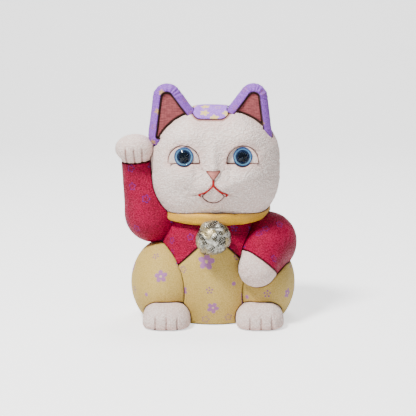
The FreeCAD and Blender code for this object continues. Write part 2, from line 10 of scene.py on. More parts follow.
import bmesh
import bpy
import numpy as np
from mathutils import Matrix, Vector


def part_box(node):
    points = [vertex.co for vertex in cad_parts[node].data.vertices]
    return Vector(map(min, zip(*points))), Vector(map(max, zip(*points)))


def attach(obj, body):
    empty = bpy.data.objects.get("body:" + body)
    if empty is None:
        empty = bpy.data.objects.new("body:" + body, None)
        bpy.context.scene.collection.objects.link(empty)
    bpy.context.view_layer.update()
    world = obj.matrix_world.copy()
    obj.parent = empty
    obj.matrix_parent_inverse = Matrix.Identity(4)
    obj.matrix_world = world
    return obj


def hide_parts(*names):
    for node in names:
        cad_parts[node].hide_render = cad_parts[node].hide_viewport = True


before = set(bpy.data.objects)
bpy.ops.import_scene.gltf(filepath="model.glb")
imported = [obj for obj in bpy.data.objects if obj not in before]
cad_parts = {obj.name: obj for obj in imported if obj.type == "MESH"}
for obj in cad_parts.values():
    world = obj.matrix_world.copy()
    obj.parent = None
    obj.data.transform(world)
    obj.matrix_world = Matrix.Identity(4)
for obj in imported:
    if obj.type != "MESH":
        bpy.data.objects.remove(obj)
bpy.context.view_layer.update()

MM = 0.001
SIDES = {"right": -1, "left": 1}


def box_mm(node):
    """Lowest and highest corner of a CAD node, in millimetres."""
    low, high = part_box(node)
    return np.array(low) / MM, np.array(high) / MM


# ---------------------------------------------------------------- sizes of the sculpture, mm

COVER = 2.0  # thickness of a cover: crepe over thin wadding
GAP = 0.25  # between one cover's edge and the next
FLOOR_CLEAR = 0.4
NECK = 92.0
WAIST = 48.0

TORSO = {"base": 44.0, "neck": 40.0, "arc": 122.0, "y": 1.0}
THIGH = {"x": 42.0, "y": -6.0, "z": 31.0, "half": (30.0, 44.0, 38.0)}
FOOT = {"x": 39.7, "front": -68.0, "width": 40.5, "length": 50.0, "height": 20.5}
FOOT.update({"corner": 17.0, "top_round": 14.0, "sole_round": 4.5})
HEAD = {"x": 1.8, "y": -3.0, "z": 133.5, "half": (56.0, 50.0, 51.5), "corner": 44.0, "round": 42.0}
EAR = {"x": -2.5, "y": -20.0, "half": 10.5, "round": 8.5, "rim": 7.0, "recess": 2.6}
EAR_CIRCLES = ((36.8, 193.3, 12.2), (43.6, 161.0, 9.5), (18.5, 173.4, 9.5))
RAISED = {
    "joints": ((-31, 3, 82), (-52, -4, 91.5), (-66, -12, 139)),
    "radii": (20.0, 25.0, 13.4),
    "paw": (-67.0, -19.5, 149.8),
    "paw_half": (17.0, 17.0, 12.4),
    "seam": ((-66, -14, 138.8), (-0.08, -0.12, 1)),
}
LOWERED = {
    "joints": ((36, 2, 74), (46.5, -9, 67), (40, -43, 54)),
    "radii": (20.0, 26.4, 16.5),
    "paw": (37.4, -49.5, 50.8),
    "paw_half": (16.4, 13.5, 16.2),
    "seam": ((41, -44, 54.5), (-0.59, -0.25, -0.77)),
}
COLLAR = {"x": 1.8, "y": -0.8, "z": 95.2, "radius": 44.0, "pitch": 4.5}
JACKET_POINT = (32.0, 49.5)
JACKET_PEAK = 80.0
EYE_X = 24.6
EYE_Z = 145.4
EYE_OPENING = {"radius": 13.3, "z": 141.2, "sill": 139.6}

# ---------------------------------------------------------------- distance fields


def smin(a, b, k):
    """The smaller of two fields, with the crease between them rounded over k."""
    h = np.clip(0.5 + 0.5 * (b - a) / k, 0, 1)
    return b + (a - b) * h - k * h * (1 - h)


def smax(a, b, k):
    return -smin(-a, -b, k)


def length(*parts):
    return np.sqrt(sum(p * p for p in parts))


def smooth(t):
    """0 to 1 with soft ends."""
    t = np.clip(t, 0, 1)
    return t * t * (3 - 2 * t)


def bump(d, width):
    """1 at d = 0, falling smoothly to nothing a few widths away."""
    return np.exp(-((d / width) ** 2))


def corner_of(a, b, radius):
    """Field of the corner inside two fields, a and b, rounded by the radius they were inset by."""
    return length(np.maximum(a, 0), np.maximum(b, 0)) + np.minimum(np.maximum(a, b), 0) - radius


def rounded_box_2d(u, v, half_u, half_v, corner):
    return corner_of(np.abs(u) - (half_u - corner), np.abs(v) - (half_v - corner), corner)


def thick(flat, away, half, rounding):
    """A flat outline's field given a half thickness, with its rims rounded."""
    return corner_of(flat + rounding, np.abs(away) - (half - rounding), rounding)


def ellipsoid(x, y, z, centre, half):
    ux, uy, uz = (x - centre[0]), (y - centre[1]), (z - centre[2])
    k0 = length(ux / half[0], uy / half[1], uz / half[2])
    k1 = length(ux / half[0] ** 2, uy / half[1] ** 2, uz / half[2] ** 2)
    return k0 * (k0 - 1) / np.maximum(k1, 1e-6)


def round_cone(x, y, z, a, b, ra, rb):
    """Two balls and the cone tangent to both."""
    a, b = np.array(a, float), np.array(b, float)
    axis = b - a
    run = np.linalg.norm(axis)
    axis = axis / run
    px, py, pz = x - a[0], y - a[1], z - a[2]
    along = px * axis[0] + py * axis[1] + pz * axis[2]
    side = np.sqrt(np.maximum(px * px + py * py + pz * pz - along * along, 0))
    lean = (ra - rb) / run
    cosine = math.sqrt(1 - lean * lean)
    k = cosine * along - lean * side
    body = cosine * side + lean * along - ra
    low = length(side, along) - ra
    high = length(side, along - run) - rb
    return np.where(k < 0, low, np.where(k > cosine * run, high, body))


def plane(x, y, z, point, normal):
    """Positive on the side that the normal points to."""
    n = np.array(normal, float)
    n = n / np.linalg.norm(n)
    return (x - point[0]) * n[0] + (y - point[1]) * n[1] + (z - point[2]) * n[2]


def segment_2d(u, v, a, b):
    """Distance to a segment, and how far along it the nearest point lies, from 0 to 1."""
    du, dv = b[0] - a[0], b[1] - a[1]
    t = np.clip(((u - a[0]) * du + (v - a[1]) * dv) / (du * du + dv * dv), 0, 1)
    return length(u - a[0] - t * du, v - a[1] - t * dv), t


def torso(x, y, z):
    """Turned about its axis: one bulging arc from the foot up to the neck."""
    base, neck, arc = TORSO["base"], TORSO["neck"], TORSO["arc"]
    half = math.hypot(base - neck, NECK) / 2
    inward = np.array([-NECK, neck - base]) / (2 * half)
    centre = np.array([(base + neck) / 2, NECK / 2]) + inward * math.sqrt(arc**2 - half**2)
    r = length(x, y - TORSO["y"])
    side = length(r - centre[0], z - centre[1]) - arc
    return smax(side, z - NECK, 2.0)


def thigh(n):
    centre = (n * THIGH["x"], THIGH["y"], THIGH["z"])
    return lambda x, y, z: ellipsoid(x, y, z, centre, THIGH["half"])


def foot(n):
    """A loaf with a rounder top than sole."""
    middle_y = FOOT["front"] + FOOT["length"] / 2

    def field(x, y, z):
        flat = rounded_box_2d(
            x - n * FOOT["x"], y - middle_y, FOOT["width"] / 2, FOOT["length"] / 2, FOOT["corner"]
        )
        top, sole = FOOT["top_round"], FOOT["sole_round"]
        over = corner_of(flat + top, z - (FOOT["height"] - top), top)
        return np.maximum(over, corner_of(flat + sole, sole - z, sole))

    return field


def head(x, y, z):
    """A pillow with full cheeks, a soft brow over each eye and a small muzzle."""
    u, v = x - HEAD["x"], z - HEAD["z"]
    flat = rounded_box_2d(u, v, HEAD["half"][0], HEAD["half"][2], HEAD["corner"])
    field = thick(flat, y - HEAD["y"], HEAD["half"][1], HEAD["round"])
    front = smooth((-20.0 - y) / 15.0)
    side = np.abs(x - 0.1)
    brow = 2.4 * bump(length((side - 26.0) / 1.5, z - 161.0), 8.5)
    orbit = -1.8 * bump(length((side - 25.0) / 1.5, z - 148.0), 9.0)
    cheek = 5.0 * bump(length((side - 26.0) / 1.6, (z - 129.0) / 1.05), 9.0)
    muzzle = 4.2 * bump(length(side / 1.5, z - 119.0), 10.5)
    muzzle = muzzle + 2.2 * bump(length(side - 9.0, z - 120.5), 6.5)
    up_bridge = np.maximum(134.0 - z, 0) + np.maximum(z - 134, 0) / 2.3
    bridge = 5.0 * bump(length(side / 0.6, up_bridge), 8.5)
    chin = 2.2 * bump(length(side / 1.3, z - 106.5), 7.0)
    hollow = -1.8 * bump(length((side - 14.5) / 0.6, (z - 134.0) / 1.4), 5.0)
    crown = 2.2 * bump(length((x + 2.0) / 1.2, y + 14.0), 20.0) * smooth((z - 165.0) / 12.0)
    return field - front * (brow + orbit + cheek + muzzle + bridge + chin + hollow) - crown


def ear_outline(u, z, shrink=0.0):
    """Field of a rounded triangle drawn tightly round three circles of different radius."""
    corners = [(x, z, radius - shrink) for x, z, radius in EAR_CIRCLES]
    best, inside, deepest = np.inf, True, -np.inf
    for (px, pz, pr), (qx, qz, qr) in zip(corners, corners[1:] + corners[:1]):
        d, t = segment_2d(u, z, (px, pz), (qx, qz))
        reach = pr + (qr - pr) * t
        best = np.minimum(best, d - reach)
        inside = inside & ((qx - px) * (z - pz) - (qz - pz) * (u - px) < 0)
        deepest = np.maximum(deepest, -d - reach)
    return np.where(inside, deepest, best)


def ear(n):
    def field(x, y, z):
        flat = ear_outline(n * (x - EAR["x"]), z)
        return thick(flat, y - EAR["y"], EAR["half"], EAR["round"])

    return field


def ear_recess(n):
    def field(x, y, z):
        flat = ear_outline(n * (x - EAR["x"]), z, EAR["rim"])
        floor = EAR["y"] - EAR["half"] + EAR["recess"]
        return np.maximum(flat, y - floor)

    return field


def ear_body(n):
    """The ear with its front hollowed out down to the inner cloth."""
    whole, hollow = ear(n), ear_recess(n)
    return lambda x, y, z: np.maximum(whole(x, y, z), -hollow(x, y, z))


def arm(spec):
    """Upper arm, forearm and paw, run smoothly together."""

    def field(x, y, z):
        shoulder, elbow, wrist = spec["joints"]
        upper = round_cone(x, y, z, shoulder, elbow, spec["radii"][0], spec["radii"][1] - 0.6)
        lower = round_cone(x, y, z, elbow, wrist, spec["radii"][1], spec["radii"][2])
        paw = ellipsoid(x, y, z, spec["paw"], spec["paw_half"])
        return smin(smin(upper, lower, 3.0), paw, 3.0)

    return field


def collar(x, y, z):
    """A padded band round the neck, a little taller than it is thick, pitched down in front."""
    tilt = math.radians(COLLAR["pitch"])
    v, w = y - COLLAR["y"], z - COLLAR["z"]
    ring_y = v * math.cos(tilt) + w * math.sin(tilt)
    ring_z = -v * math.sin(tilt) + w * math.cos(tilt)
    r = length(x - COLLAR["x"], ring_y) - COLLAR["radius"]
    return rounded_box_2d(r, ring_z, 4.6, 5.2, 3.6)


BELL_LOW, BELL_HIGH = box_mm("bell_cover")
BELL_CENTRE = (BELL_LOW + BELL_HIGH) / 2
BELL_RADIUS = float((BELL_HIGH - BELL_LOW).max() / 2)


def bell(x, y, z):
    return length(x - BELL_CENTRE[0], y - BELL_CENTRE[1], z - BELL_CENTRE[2]) - BELL_RADIUS


raised_arm = arm(RAISED)
lowered_arm = arm(LOWERED)
thighs = {side: thigh(n) for side, n in SIDES.items()}
feet = {side: foot(n) for side, n in SIDES.items()}
ears = {side: ear(n) for side, n in SIDES.items()}
ear_bodies = {side: ear_body(n) for side, n in SIDES.items()}

# ---------------------------------------------------------------- where each panel ends


def face_edge(x, y, z):
    """Negative on the face's side of its seam with the hood and the ears."""
    across = np.abs(x - EAR["x"])
    brow_line = 175.3 + 4.5 * smooth((across - 9.0) / 16.0) + 0.4 * (y + 38.0)
    behind = EAR["y"] + 3.0 + 25.0 * smooth((166.0 - z) / 22.0)
    return np.maximum(y - behind, (z - brow_line) * 0.93)


def belly_edge(x, y, z):
    """Negative below the jacket's hem, which rises to a peak under the bell."""
    across = np.abs(x)
    slope = (JACKET_PEAK - JACKET_POINT[1]) / JACKET_POINT[0]
    lean = math.hypot(1, slope)
    rising = (z - (JACKET_PEAK - slope * across)) / lean
    return np.minimum(rising, z - WAIST)


def eye_socket(n):
    def field(x, y, z):
        u = x - n * EYE_X
        lens = smax(
            length(u, z - EYE_OPENING["z"]) - EYE_OPENING["radius"], EYE_OPENING["sill"] - z, 0.8
        )
        well = length(u, z - EYE_Z) - 8.3
        return np.maximum(np.minimum(lens, well), y + 30.0)

    return field


def chin_edge(x, y, z):
    """Negative inside the small panel under the mouth: two straight top sides, a bowed lower edge."""
    across = np.abs(x)
    top = (z - 121.6 + across * 0.93) / 1.37
    lower = length(x, z - 117.6) - 10.4
    return np.maximum(smax(top, lower, 0.8), y + 30.0)


sockets = {side: eye_socket(n) for side, n in SIDES.items()}

# ---------------------------------------------------------------- meshing


def surface_nets(field, low, high, step):
    """Meshes the field's zero surface inside a box: one point per crossed cell, quads between."""
    axes = [np.arange(lo - step, hi + 2 * step, step) for lo, hi in zip(low, high)]
    x, y, z = np.meshgrid(*axes, indexing="ij", sparse=True)
    f = np.broadcast_to(field(x, y, z), [len(a) for a in axes]).astype(np.float32)
    inside = f < 0
    shape = tuple(n - 1 for n in f.shape)
    count = np.zeros(shape, np.int8)
    corners = [(i, j, k) for i in (0, 1) for j in (0, 1) for k in (0, 1)]
    for i, j, k in corners:
        count += inside[i : i + shape[0], j : j + shape[1], k : k + shape[2]]
    cells = np.argwhere((count > 0) & (count < 8))
    total = np.zeros((len(cells), 3))
    hits = np.zeros(len(cells))
    for a in corners:
        for axis in range(3):
            if a[axis]:
                continue
            b = tuple(1 if m == axis else a[m] for m in range(3))
            fa = f[tuple((cells + a).T)]
            fb = f[tuple((cells + b).T)]
            crossed = (fa < 0) != (fb < 0)
            t = np.where(crossed, fa / np.where(crossed, fa - fb, 1), 0)
            point = np.array(a, float) + 0.0 * cells
            point[:, axis] += t
            total += point * crossed[:, None]
            hits += crossed
    start = np.array([a[0] for a in axes])
    points = start + (cells + total / hits[:, None]) * step
    index = np.full(shape, -1, np.int32)
    index[tuple(cells.T)] = np.arange(len(cells))
    quads = []
    for axis in range(3):
        near = [slice(None)] * 3
        far = [slice(None)] * 3
        near[axis], far[axis] = slice(0, -1), slice(1, None)
        a, b = inside[tuple(near)], inside[tuple(far)]
        edges = np.argwhere(a != b)
        others = [m for m in range(3) if m != axis]
        limits = np.array(f.shape)
        keep = np.ones(len(edges), bool)
        for m in others:
            keep &= (edges[:, m] > 0) & (edges[:, m] < limits[m] - 1)
        edges = edges[keep]
        rising = a[tuple(edges.T)]
        ring = []
        for du, dv in ((-1, -1), (0, -1), (0, 0), (-1, 0)):
            cell = edges.copy()
            cell[:, others[0]] += du
            cell[:, others[1]] += dv
            ring.append(index[tuple(cell.T)])
        ring = np.stack(ring, 1)
        flip = rising if axis != 1 else ~rising
        ring[~flip] = ring[~flip][:, ::-1]
        quads.append(ring)
    return points, np.concatenate(quads)


def gradient(field, points, reach=0.05):
    columns = []
    for axis in range(3):
        ahead, behind = points.copy(), points.copy()
        ahead[:, axis] += reach
        behind[:, axis] -= reach
        columns.append((field(*ahead.T) - field(*behind.T)) / (2 * reach))
    return np.stack(columns, 1)


def settle(field, points, step, rounds=3):
    """Slides points onto the field's zero surface."""
    for _ in range(rounds):
        slope = gradient(field, points)
        square = np.maximum((slope * slope).sum(1), 0.15)
        move = np.clip(field(*points.T) / square, -step, step)
        points = points - slope * move[:, None]
    return points


def relax(points, quads, amount=0.5):
    """Moves each point towards the middle of its neighbours."""
    total = np.zeros_like(points)
    count = np.zeros(len(points))
    for i in range(4):
        a, b = quads[:, i], quads[:, (i + 1) % 4]
        np.add.at(total, a, points[b])
        np.add.at(total, b, points[a])
        np.add.at(count, a, 1)
        np.add.at(count, b, 1)
    return points + amount * (total / np.maximum(count, 1)[:, None] - points)


def lattice_noise(points, scale, seed):
    """Smooth value noise from -1 to 1, the same on every run."""
    p = points / scale
    cell = np.floor(p).astype(np.int64)
    t = smooth(p - cell)
    total = 0.0
    for i in (0, 1):
        for j in (0, 1):
            for k in (0, 1):
                h = (cell[:, 0] + i) * 374761393 + (cell[:, 1] + j) * 668265263
                h = (h + (cell[:, 2] + k) * 2147483647 + seed * 1274126177) & 0xFFFFFFFF
                h = ((h ^ (h >> 13)) * 1274126177) & 0xFFFFFFFF
                value = ((h ^ (h >> 16)) & 0xFFFF) / 32767.5 - 1
                weight = np.where(i, t[:, 0], 1 - t[:, 0]) * np.where(j, t[:, 1], 1 - t[:, 1])
                total = total + value * weight * np.where(k, t[:, 2], 1 - t[:, 2])
    return total


def make_object(name, points, faces, attributes=None):
    """A mesh object from points in millimetres, with float or vector attributes on its points."""
    mesh = bpy.data.meshes.new(name)
    mesh.from_pydata((np.asarray(points) * MM).tolist(), [], [list(map(int, f)) for f in faces])
    for key, values in (attributes or {}).items():
        kind = "FLOAT" if values.ndim == 1 else "FLOAT_VECTOR"
        layer = mesh.attributes.new(key, kind, "POINT")
        field = "value" if kind == "FLOAT" else "vector"
        layer.data.foreach_set(field, values.astype(np.float32).ravel())
    mesh.validate()
    mesh.shade_smooth()
    obj = bpy.data.objects.new(name, mesh)
    bpy.context.scene.collection.objects.link(obj)
    return obj


def dress(obj, material, node):
    """Gives a piece its material and body, and hides the CAD node that it stands for."""
    obj.data.materials.append(material)
    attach(obj, "root")
    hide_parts(node)
    return obj


# ---------------------------------------------------------------- printed flowers

FLOWER_TRIES = 4000
KINDS = {"solid": 0.0, "outline": 1.0, "dots": 2.0, "bud": 3.0}


def print_flowers(points, normals, flowers, fill, seed):
    """Per-point place within the nearest printed flower, in units of that flower's radius.

    flowers are (x, z, radius, kind, turn) seen from the front; fill is (spacing, kinds) for the
    flowers scattered where none is listed.
    """
    rng = np.random.default_rng(seed)
    stamps = []
    for x, z, radius, kind, turn in flowers:
        away = length(points[:, 0] - x, points[:, 2] - z) + 1e3 * (normals[:, 1] > 0.2)
        k = int(np.argmin(away))
        if away[k] < 4.0:
            centre = np.array([x, points[k, 1], z])
            stamps.append((centre, normals[k], radius, KINDS[kind], math.radians(turn)))
    spacing, kinds = fill
    for k in rng.permutation(np.arange(len(points)))[:FLOWER_TRIES]:
        p, n = points[k], normals[k]
        radius, kind = kinds[rng.integers(len(kinds))]
        turn = rng.uniform(0, 2 * math.pi)
        seen_front = n[1] < -0.15 and flowers
        if seen_front or n[2] < -0.8:
            continue
        if all(np.linalg.norm(p - s[0]) > spacing for s in stamps):
            stamps.append((p, n, radius, KINDS[kind], turn))
    place = np.full((len(points), 3), 50.0)
    mask = np.zeros(len(points))
    best = np.full(len(points), 1e9)
    for centre, n, radius, kind, turn in stamps:
        side = np.cross((0.0, 0.0, 1.0), n)
        side = side / max(np.linalg.norm(side), 1e-6)
        up = np.cross(n, side)
        a = side * math.cos(turn) + up * math.sin(turn)
        b = up * math.cos(turn) - side * math.sin(turn)
        rel = points - centre
        away = np.linalg.norm(rel, axis=1) / radius
        nearer = away < best
        best = np.where(nearer, away, best)
        u, v = rel @ a / radius, rel @ b / radius
        place[nearer] = np.stack([u, v, np.full(len(u), kind)], 1)[nearer]
        facing = (normals @ n) > 0.0
        mask = np.where(nearer, (away < 1.45) & facing, mask)
    return {"flower": place, "flower_mask": mask.astype(float)}


# ---------------------------------------------------------------- panels of cloth


def panel(node, material, base, edges, box, step=0.8, roll=1.8, thickness=COVER,
          pucker=0.16, flowers=None, fill=None, seed=1, extra=None):
    """One cover: the layer under base's surface, inside every edge field, with its rim rolled in."""

    def limit(x, y, z):
        worst = edges[0](x, y, z)
        for edge in edges[1:]:
            worst = np.maximum(worst, edge(x, y, z))
        return worst

    def field(x, y, z):
        skin = base(x, y, z)
        return smax(np.maximum(skin, -(skin + thickness)), limit(x, y, z), roll)

    def outer(x, y, z):
        return smax(base(x, y, z), limit(x, y, z), roll)

    low, high = (np.array(c, float) for c in box)
    points, quads = surface_nets(field, low, high, step)
    points = settle(field, points, step)
    for _ in range(2):
        points = settle(field, relax(points, quads, 0.35), step, 1)
    skin = base(*points.T)
    top = smooth((skin + thickness * 0.6) / (thickness * 0.5))
    normals = gradient(outer, points)
    normals = normals / np.maximum(np.linalg.norm(normals, axis=1), 1e-6)[:, None]
    inward = -limit(*points.T)
    grain = points * (0.75, 0.75, 1.25)
    lift = pucker * (0.75 * lattice_noise(grain, 2.2, seed) + 0.45 * lattice_noise(grain, 1.3, seed + 7))
    lift = lift + 0.25 * lattice_noise(points, 13.0, seed + 3)
    shaped = np.zeros(len(points)) if extra is None else extra(points, normals, inward)
    lift = lift + shaped
    points = points + normals * (lift * top)[:, None]
    # the shaders paint shade from these: seam is how far in from the panel's edge, crease how deep a
    # pressed crease is
    attributes = {"seam": np.clip(inward, 0, 30), "crease": np.clip(-shaped, 0, 1.5)}
    if fill is not None:
        attributes.update(print_flowers(points, normals, flowers or [], fill, seed))
    obj = make_object("cloth_" + node, points, quads, attributes)
    dress(obj, material, node)
    return obj


def outside(field, gap=GAP):
    """An edge field that keeps a panel clear of another form."""
    return lambda x, y, z: gap - field(x, y, z)


def shallow(field, depth=COVER):
    """An edge field that stops a panel once it has sunk this deep into another form."""
    return lambda x, y, z: -(field(x, y, z) + depth)


def gap_from(edge, side=1):
    """An edge field along a seam, on one side of it."""
    return lambda x, y, z: side * edge(x, y, z) + GAP / 2


def above(height):
    return lambda x, y, z: height - z


def wrist_edge(spec, side):
    point, normal = spec["seam"]
    return lambda x, y, z: side * plane(x, y, z, point, normal) + GAP / 2


# ---------------------------------------------------------------- materials


class Nodes:
    """A small helper for writing shader graphs as expressions."""

    def __init__(self, name):
        self.material = bpy.data.materials.new(name)
        self.material.use_nodes = True
        self.tree = self.material.node_tree
        self.tree.nodes.clear()
        self.out = self.tree.nodes.new("ShaderNodeOutputMaterial")
        self.shader = self.tree.nodes.new("ShaderNodeBsdfPrincipled")
        self.tree.links.new(self.shader.outputs[0], self.out.inputs[0])
        self.place = self.add("ShaderNodeTexCoord").outputs["Object"]

    def add(self, kind, **settings):
        node = self.tree.nodes.new(kind)
        for key, value in settings.items():
            setattr(node, key, value)
        return node

    def feed(self, socket, value):
        if isinstance(value, bpy.types.NodeSocket):
            self.tree.links.new(value, socket)
        elif isinstance(value, (tuple, list)) and len(value) == 3 and socket.type == "RGBA":
            socket.default_value = (*value, 1.0)
        else:
            socket.default_value = value

    def math(self, operation, a, b=0.0, c=0.0, clamp=False):
        node = self.add("ShaderNodeMath", operation=operation, use_clamp=clamp)
        for socket, value in zip(node.inputs, (a, b, c)):
            self.feed(socket, value)
        return node.outputs[0]

    def node(self, kind, sockets, **settings):
        """A new node with its input sockets, by name or number, fed or set."""
        node = self.add(kind, **settings)
        for key, value in sockets.items():
            self.feed(node.inputs[key], value)
        return node

    def ramp(self, value, low, high, to_low=0.0, to_high=1.0):
        sockets = dict(enumerate((value, low, high, to_low, to_high)))
        return self.node("ShaderNodeMapRange", sockets, interpolation_type="SMOOTHSTEP").outputs[0]

    def hypot(self, a, b):
        squares = [self.math("MULTIPLY", v, v) for v in (a, b)]
        return self.math("SQRT", self.math("ADD", *squares))

    def mix(self, amount, a, b):
        return self.node("ShaderNodeMix", {0: amount, 6: a, 7: b}, data_type="RGBA").outputs[2]

    def mapped(self, scale=(1, 1, 1), turn=(0, 0, 0), vector=None):
        """Object coordinates, or the vector given, stretched and turned."""
        sockets = {"Vector": vector or self.place, "Rotation": turn, "Scale": scale}
        return self.node("ShaderNodeMapping", sockets).outputs[0]

    def noise(self, scale, detail=2.0, rough=0.5, vector=None, distort=0.0):
        sockets = {"Vector": vector or self.place, "Scale": scale, "Detail": detail}
        sockets.update({"Roughness": rough, "Distortion": distort})
        return self.node("ShaderNodeTexNoise", sockets).outputs["Fac"]

    def cells(self, scale, vector, smoothness):
        sockets = {"Vector": vector, "Scale": scale, "Smoothness": smoothness}
        return self.node("ShaderNodeTexVoronoi", sockets, feature="SMOOTH_F1").outputs["Distance"]

    def bands(self, direction, scale, vector, distortion, detail=2.0):
        sockets = {"Vector": vector, "Scale": scale, "Distortion": distortion, "Detail": detail}
        wave = self.node("ShaderNodeTexWave", sockets, wave_type="BANDS", bands_direction=direction)
        return wave.outputs["Fac"]

    def warped(self, scale, amount):
        """Object coordinates pushed about by noise, so that cells and lines wander."""
        noise = self.node("ShaderNodeTexNoise", {"Vector": self.place, "Scale": scale})
        sockets = {0: noise.outputs["Color"], 1: (amount, amount, amount), 2: self.place}
        return self.node("ShaderNodeVectorMath", sockets, operation="MULTIPLY_ADD").outputs[0]

    def attribute(self, name, part="Fac"):
        node = self.add("ShaderNodeAttribute", attribute_name=name)
        return node.outputs[part]

    def bump(self, height, strength, distance):
        sockets = {"Strength": strength, "Distance": distance, "Height": height}
        return self.node("ShaderNodeBump", sockets).outputs[0]

    def finish(self, colour, roughness, normal=None, **sockets):
        self.feed(self.shader.inputs["Base Color"], colour)
        self.feed(self.shader.inputs["Roughness"], roughness)
        if normal is not None:
            self.feed(self.shader.inputs["Normal"], normal)
        for key, value in sockets.items():
            self.feed(self.shader.inputs[key.replace("_", " ")], value)
        return self.material


def crepe(name, light, dark, groove, grain=1.25, height=0.34, sheen=0.0, gloss=0.62, petals=None,
          groove_width=1.3, seam_shade_tint=None, shine=0.3):
    """Puckered silk crepe: wandering grains with painted shade in their valleys, and painted shade where it
    tucks in.
    """
    n = Nodes(name)
    flow = n.mapped((1.0, 1.0, 1.45), vector=n.warped(260.0, 0.0016))
    pebble = n.cells(1000.0 / grain, flow, 0.35)
    weave = n.noise(3200.0, 2.0, 0.6)
    drift = n.noise(45.0, 3.0, 0.55)
    top = n.math("SUBTRACT", 1.0, n.ramp(pebble, 0.05, 0.75))
    relief = n.math("ADD", top, n.math("MULTIPLY", weave, 0.18))
    # painted shade: the colour runs from light on each grain's top to dark in its valley, mixed with random
    # tone from the drift noise
    tone = n.math("ADD", n.math("MULTIPLY", top, 0.62), n.math("MULTIPLY", drift, 0.55), clamp=True)
    colour = n.mix(n.ramp(tone, 0.18, 0.85), dark, light)
    if seam_shade_tint is not None:
        # painted shade: a warm tint mixed in towards the seams, patchy with the drift noise
        near = n.ramp(n.attribute("seam"), 0.5, 7.0, 0.55, 0.0)
        colour = n.mix(n.math("MULTIPLY", near, drift), colour, seam_shade_tint)
    if petals is not None:
        colour = printed(n, colour, petals)
    # painted shade: near a seam and down in pressed creases the colour goes to the groove colour
    crease = n.ramp(n.attribute("crease"), 0.15, 1.1, 0.0, 0.6)
    seam = n.ramp(n.attribute("seam"), 0.0, groove_width, 0.9, 0.0)
    colour = n.mix(n.math("MAXIMUM", seam, crease), colour, groove)
    normal = n.bump(relief, 1.0, height * MM)
    rough = n.ramp(n.math("ADD", top, drift), 0.3, 1.5, gloss + 0.16, gloss - 0.06)
    sheens = {"Sheen_Weight": sheen, "Sheen_Roughness": 0.4}
    return n.finish(colour, rough, normal, Specular_IOR_Level=shine, **sheens)


def printed(n, cloth, petals):
    """Small five-petalled flowers printed on cloth: solid, outlined, dotted or in bud."""
    petal_colour, heart_colour, line_colour = petals
    spot = n.add("ShaderNodeSeparateXYZ")
    n.feed(spot.inputs[0], n.attribute("flower", "Vector"))
    u, v, kind = spot.outputs
    wobble = n.math("MULTIPLY", n.math("SUBTRACT", n.noise(900.0, 1.0), 0.5), 0.28)
    r = n.math("ADD", n.hypot(u, v), wobble)
    angle = n.math("ARCTAN2", v, u)
    lobe = n.math("ABSOLUTE", n.math("COSINE", n.math("MULTIPLY", angle, 2.5)))
    rim = n.math("MULTIPLY_ADD", n.math("POWER", lobe, 0.75), 0.52, 0.46)
    past = n.math("SUBTRACT", r, rim)
    solid = n.ramp(past, -0.05, 0.07, 1.0, 0.0)
    line = n.ramp(n.math("ABSOLUTE", n.math("ADD", past, 0.08)), 0.05, 0.15, 1.0, 0.0)
    across = n.math("MULTIPLY", r, n.math("SINE", n.math("MULTIPLY", n.math("ARCCOSINE", lobe), 0.4)))
    along = n.math("SUBTRACT", r, 0.68)
    dot = n.ramp(n.hypot(across, along), 0.17, 0.27, 1.0, 0.0)
    heart = n.ramp(r, 0.13, 0.24, 1.0, 0.0)

    def chosen(k):
        return n.math("LESS_THAN", n.math("ABSOLUTE", n.math("SUBTRACT", kind, k)), 0.5)

    on = n.ramp(n.attribute("flower_mask"), 0.45, 0.55)
    bud = n.math("MULTIPLY", chosen(KINDS["bud"]), n.ramp(r, 0.55, 0.8, 1.0, 0.0))
    body = n.math("ADD", n.math("MULTIPLY", chosen(KINDS["solid"]), solid), bud)
    body = n.math("MULTIPLY", body, on, clamp=True)
    dots = n.math("MULTIPLY", chosen(KINDS["dots"]), n.math("MAXIMUM", dot, heart))
    lines = n.math("ADD", n.math("MULTIPLY", chosen(KINDS["outline"]), line), dots)
    lines = n.math("MULTIPLY", lines, on, clamp=True)
    colour = n.mix(n.math("MULTIPLY", body, 0.85), cloth, petal_colour)
    vein = n.math("MULTIPLY", body, n.ramp(lobe, 0.0, 0.3, 0.5, 0.0))
    colour = n.mix(vein, colour, line_colour)
    colour = n.mix(n.math("MULTIPLY", lines, 0.85), colour, line_colour)
    centre = n.math("MULTIPLY", n.math("MULTIPLY", heart, chosen(KINDS["solid"])), on)
    return n.mix(centre, colour, heart_colour)


def plain_weave(name, light, dark, groove, thread=0.55):
    """Flat woven cloth with crossed threads."""
    n = Nodes(name)
    pitch = 1000.0 / thread / (2 * math.pi) * 0.5
    lanes = [n.bands(way, pitch, n.warped(400.0, 0.0004), 4.0, 1.0) for way in "XZ"]
    weave = n.math("MULTIPLY", n.math("ADD", lanes[0], lanes[1]), 0.5)
    streak = n.ramp(n.noise(500.0, 3.0, 0.65, n.mapped((0.45, 1.0, 1.6))), 0.3, 0.7)
    colour = n.mix(n.math("MULTIPLY_ADD", weave, 0.25, n.math("MULTIPLY", streak, 0.75)), dark, light)
    # painted shade: the colour goes to the groove colour where the cloth tucks into its groove
    seam = n.ramp(n.attribute("seam"), 0.1, 1.6, 1.0, 0.0)
    colour = n.mix(seam, colour, groove)
    return n.finish(colour, 0.8, n.bump(weave, 0.7, 0.12 * MM), Sheen_Weight=0.0)


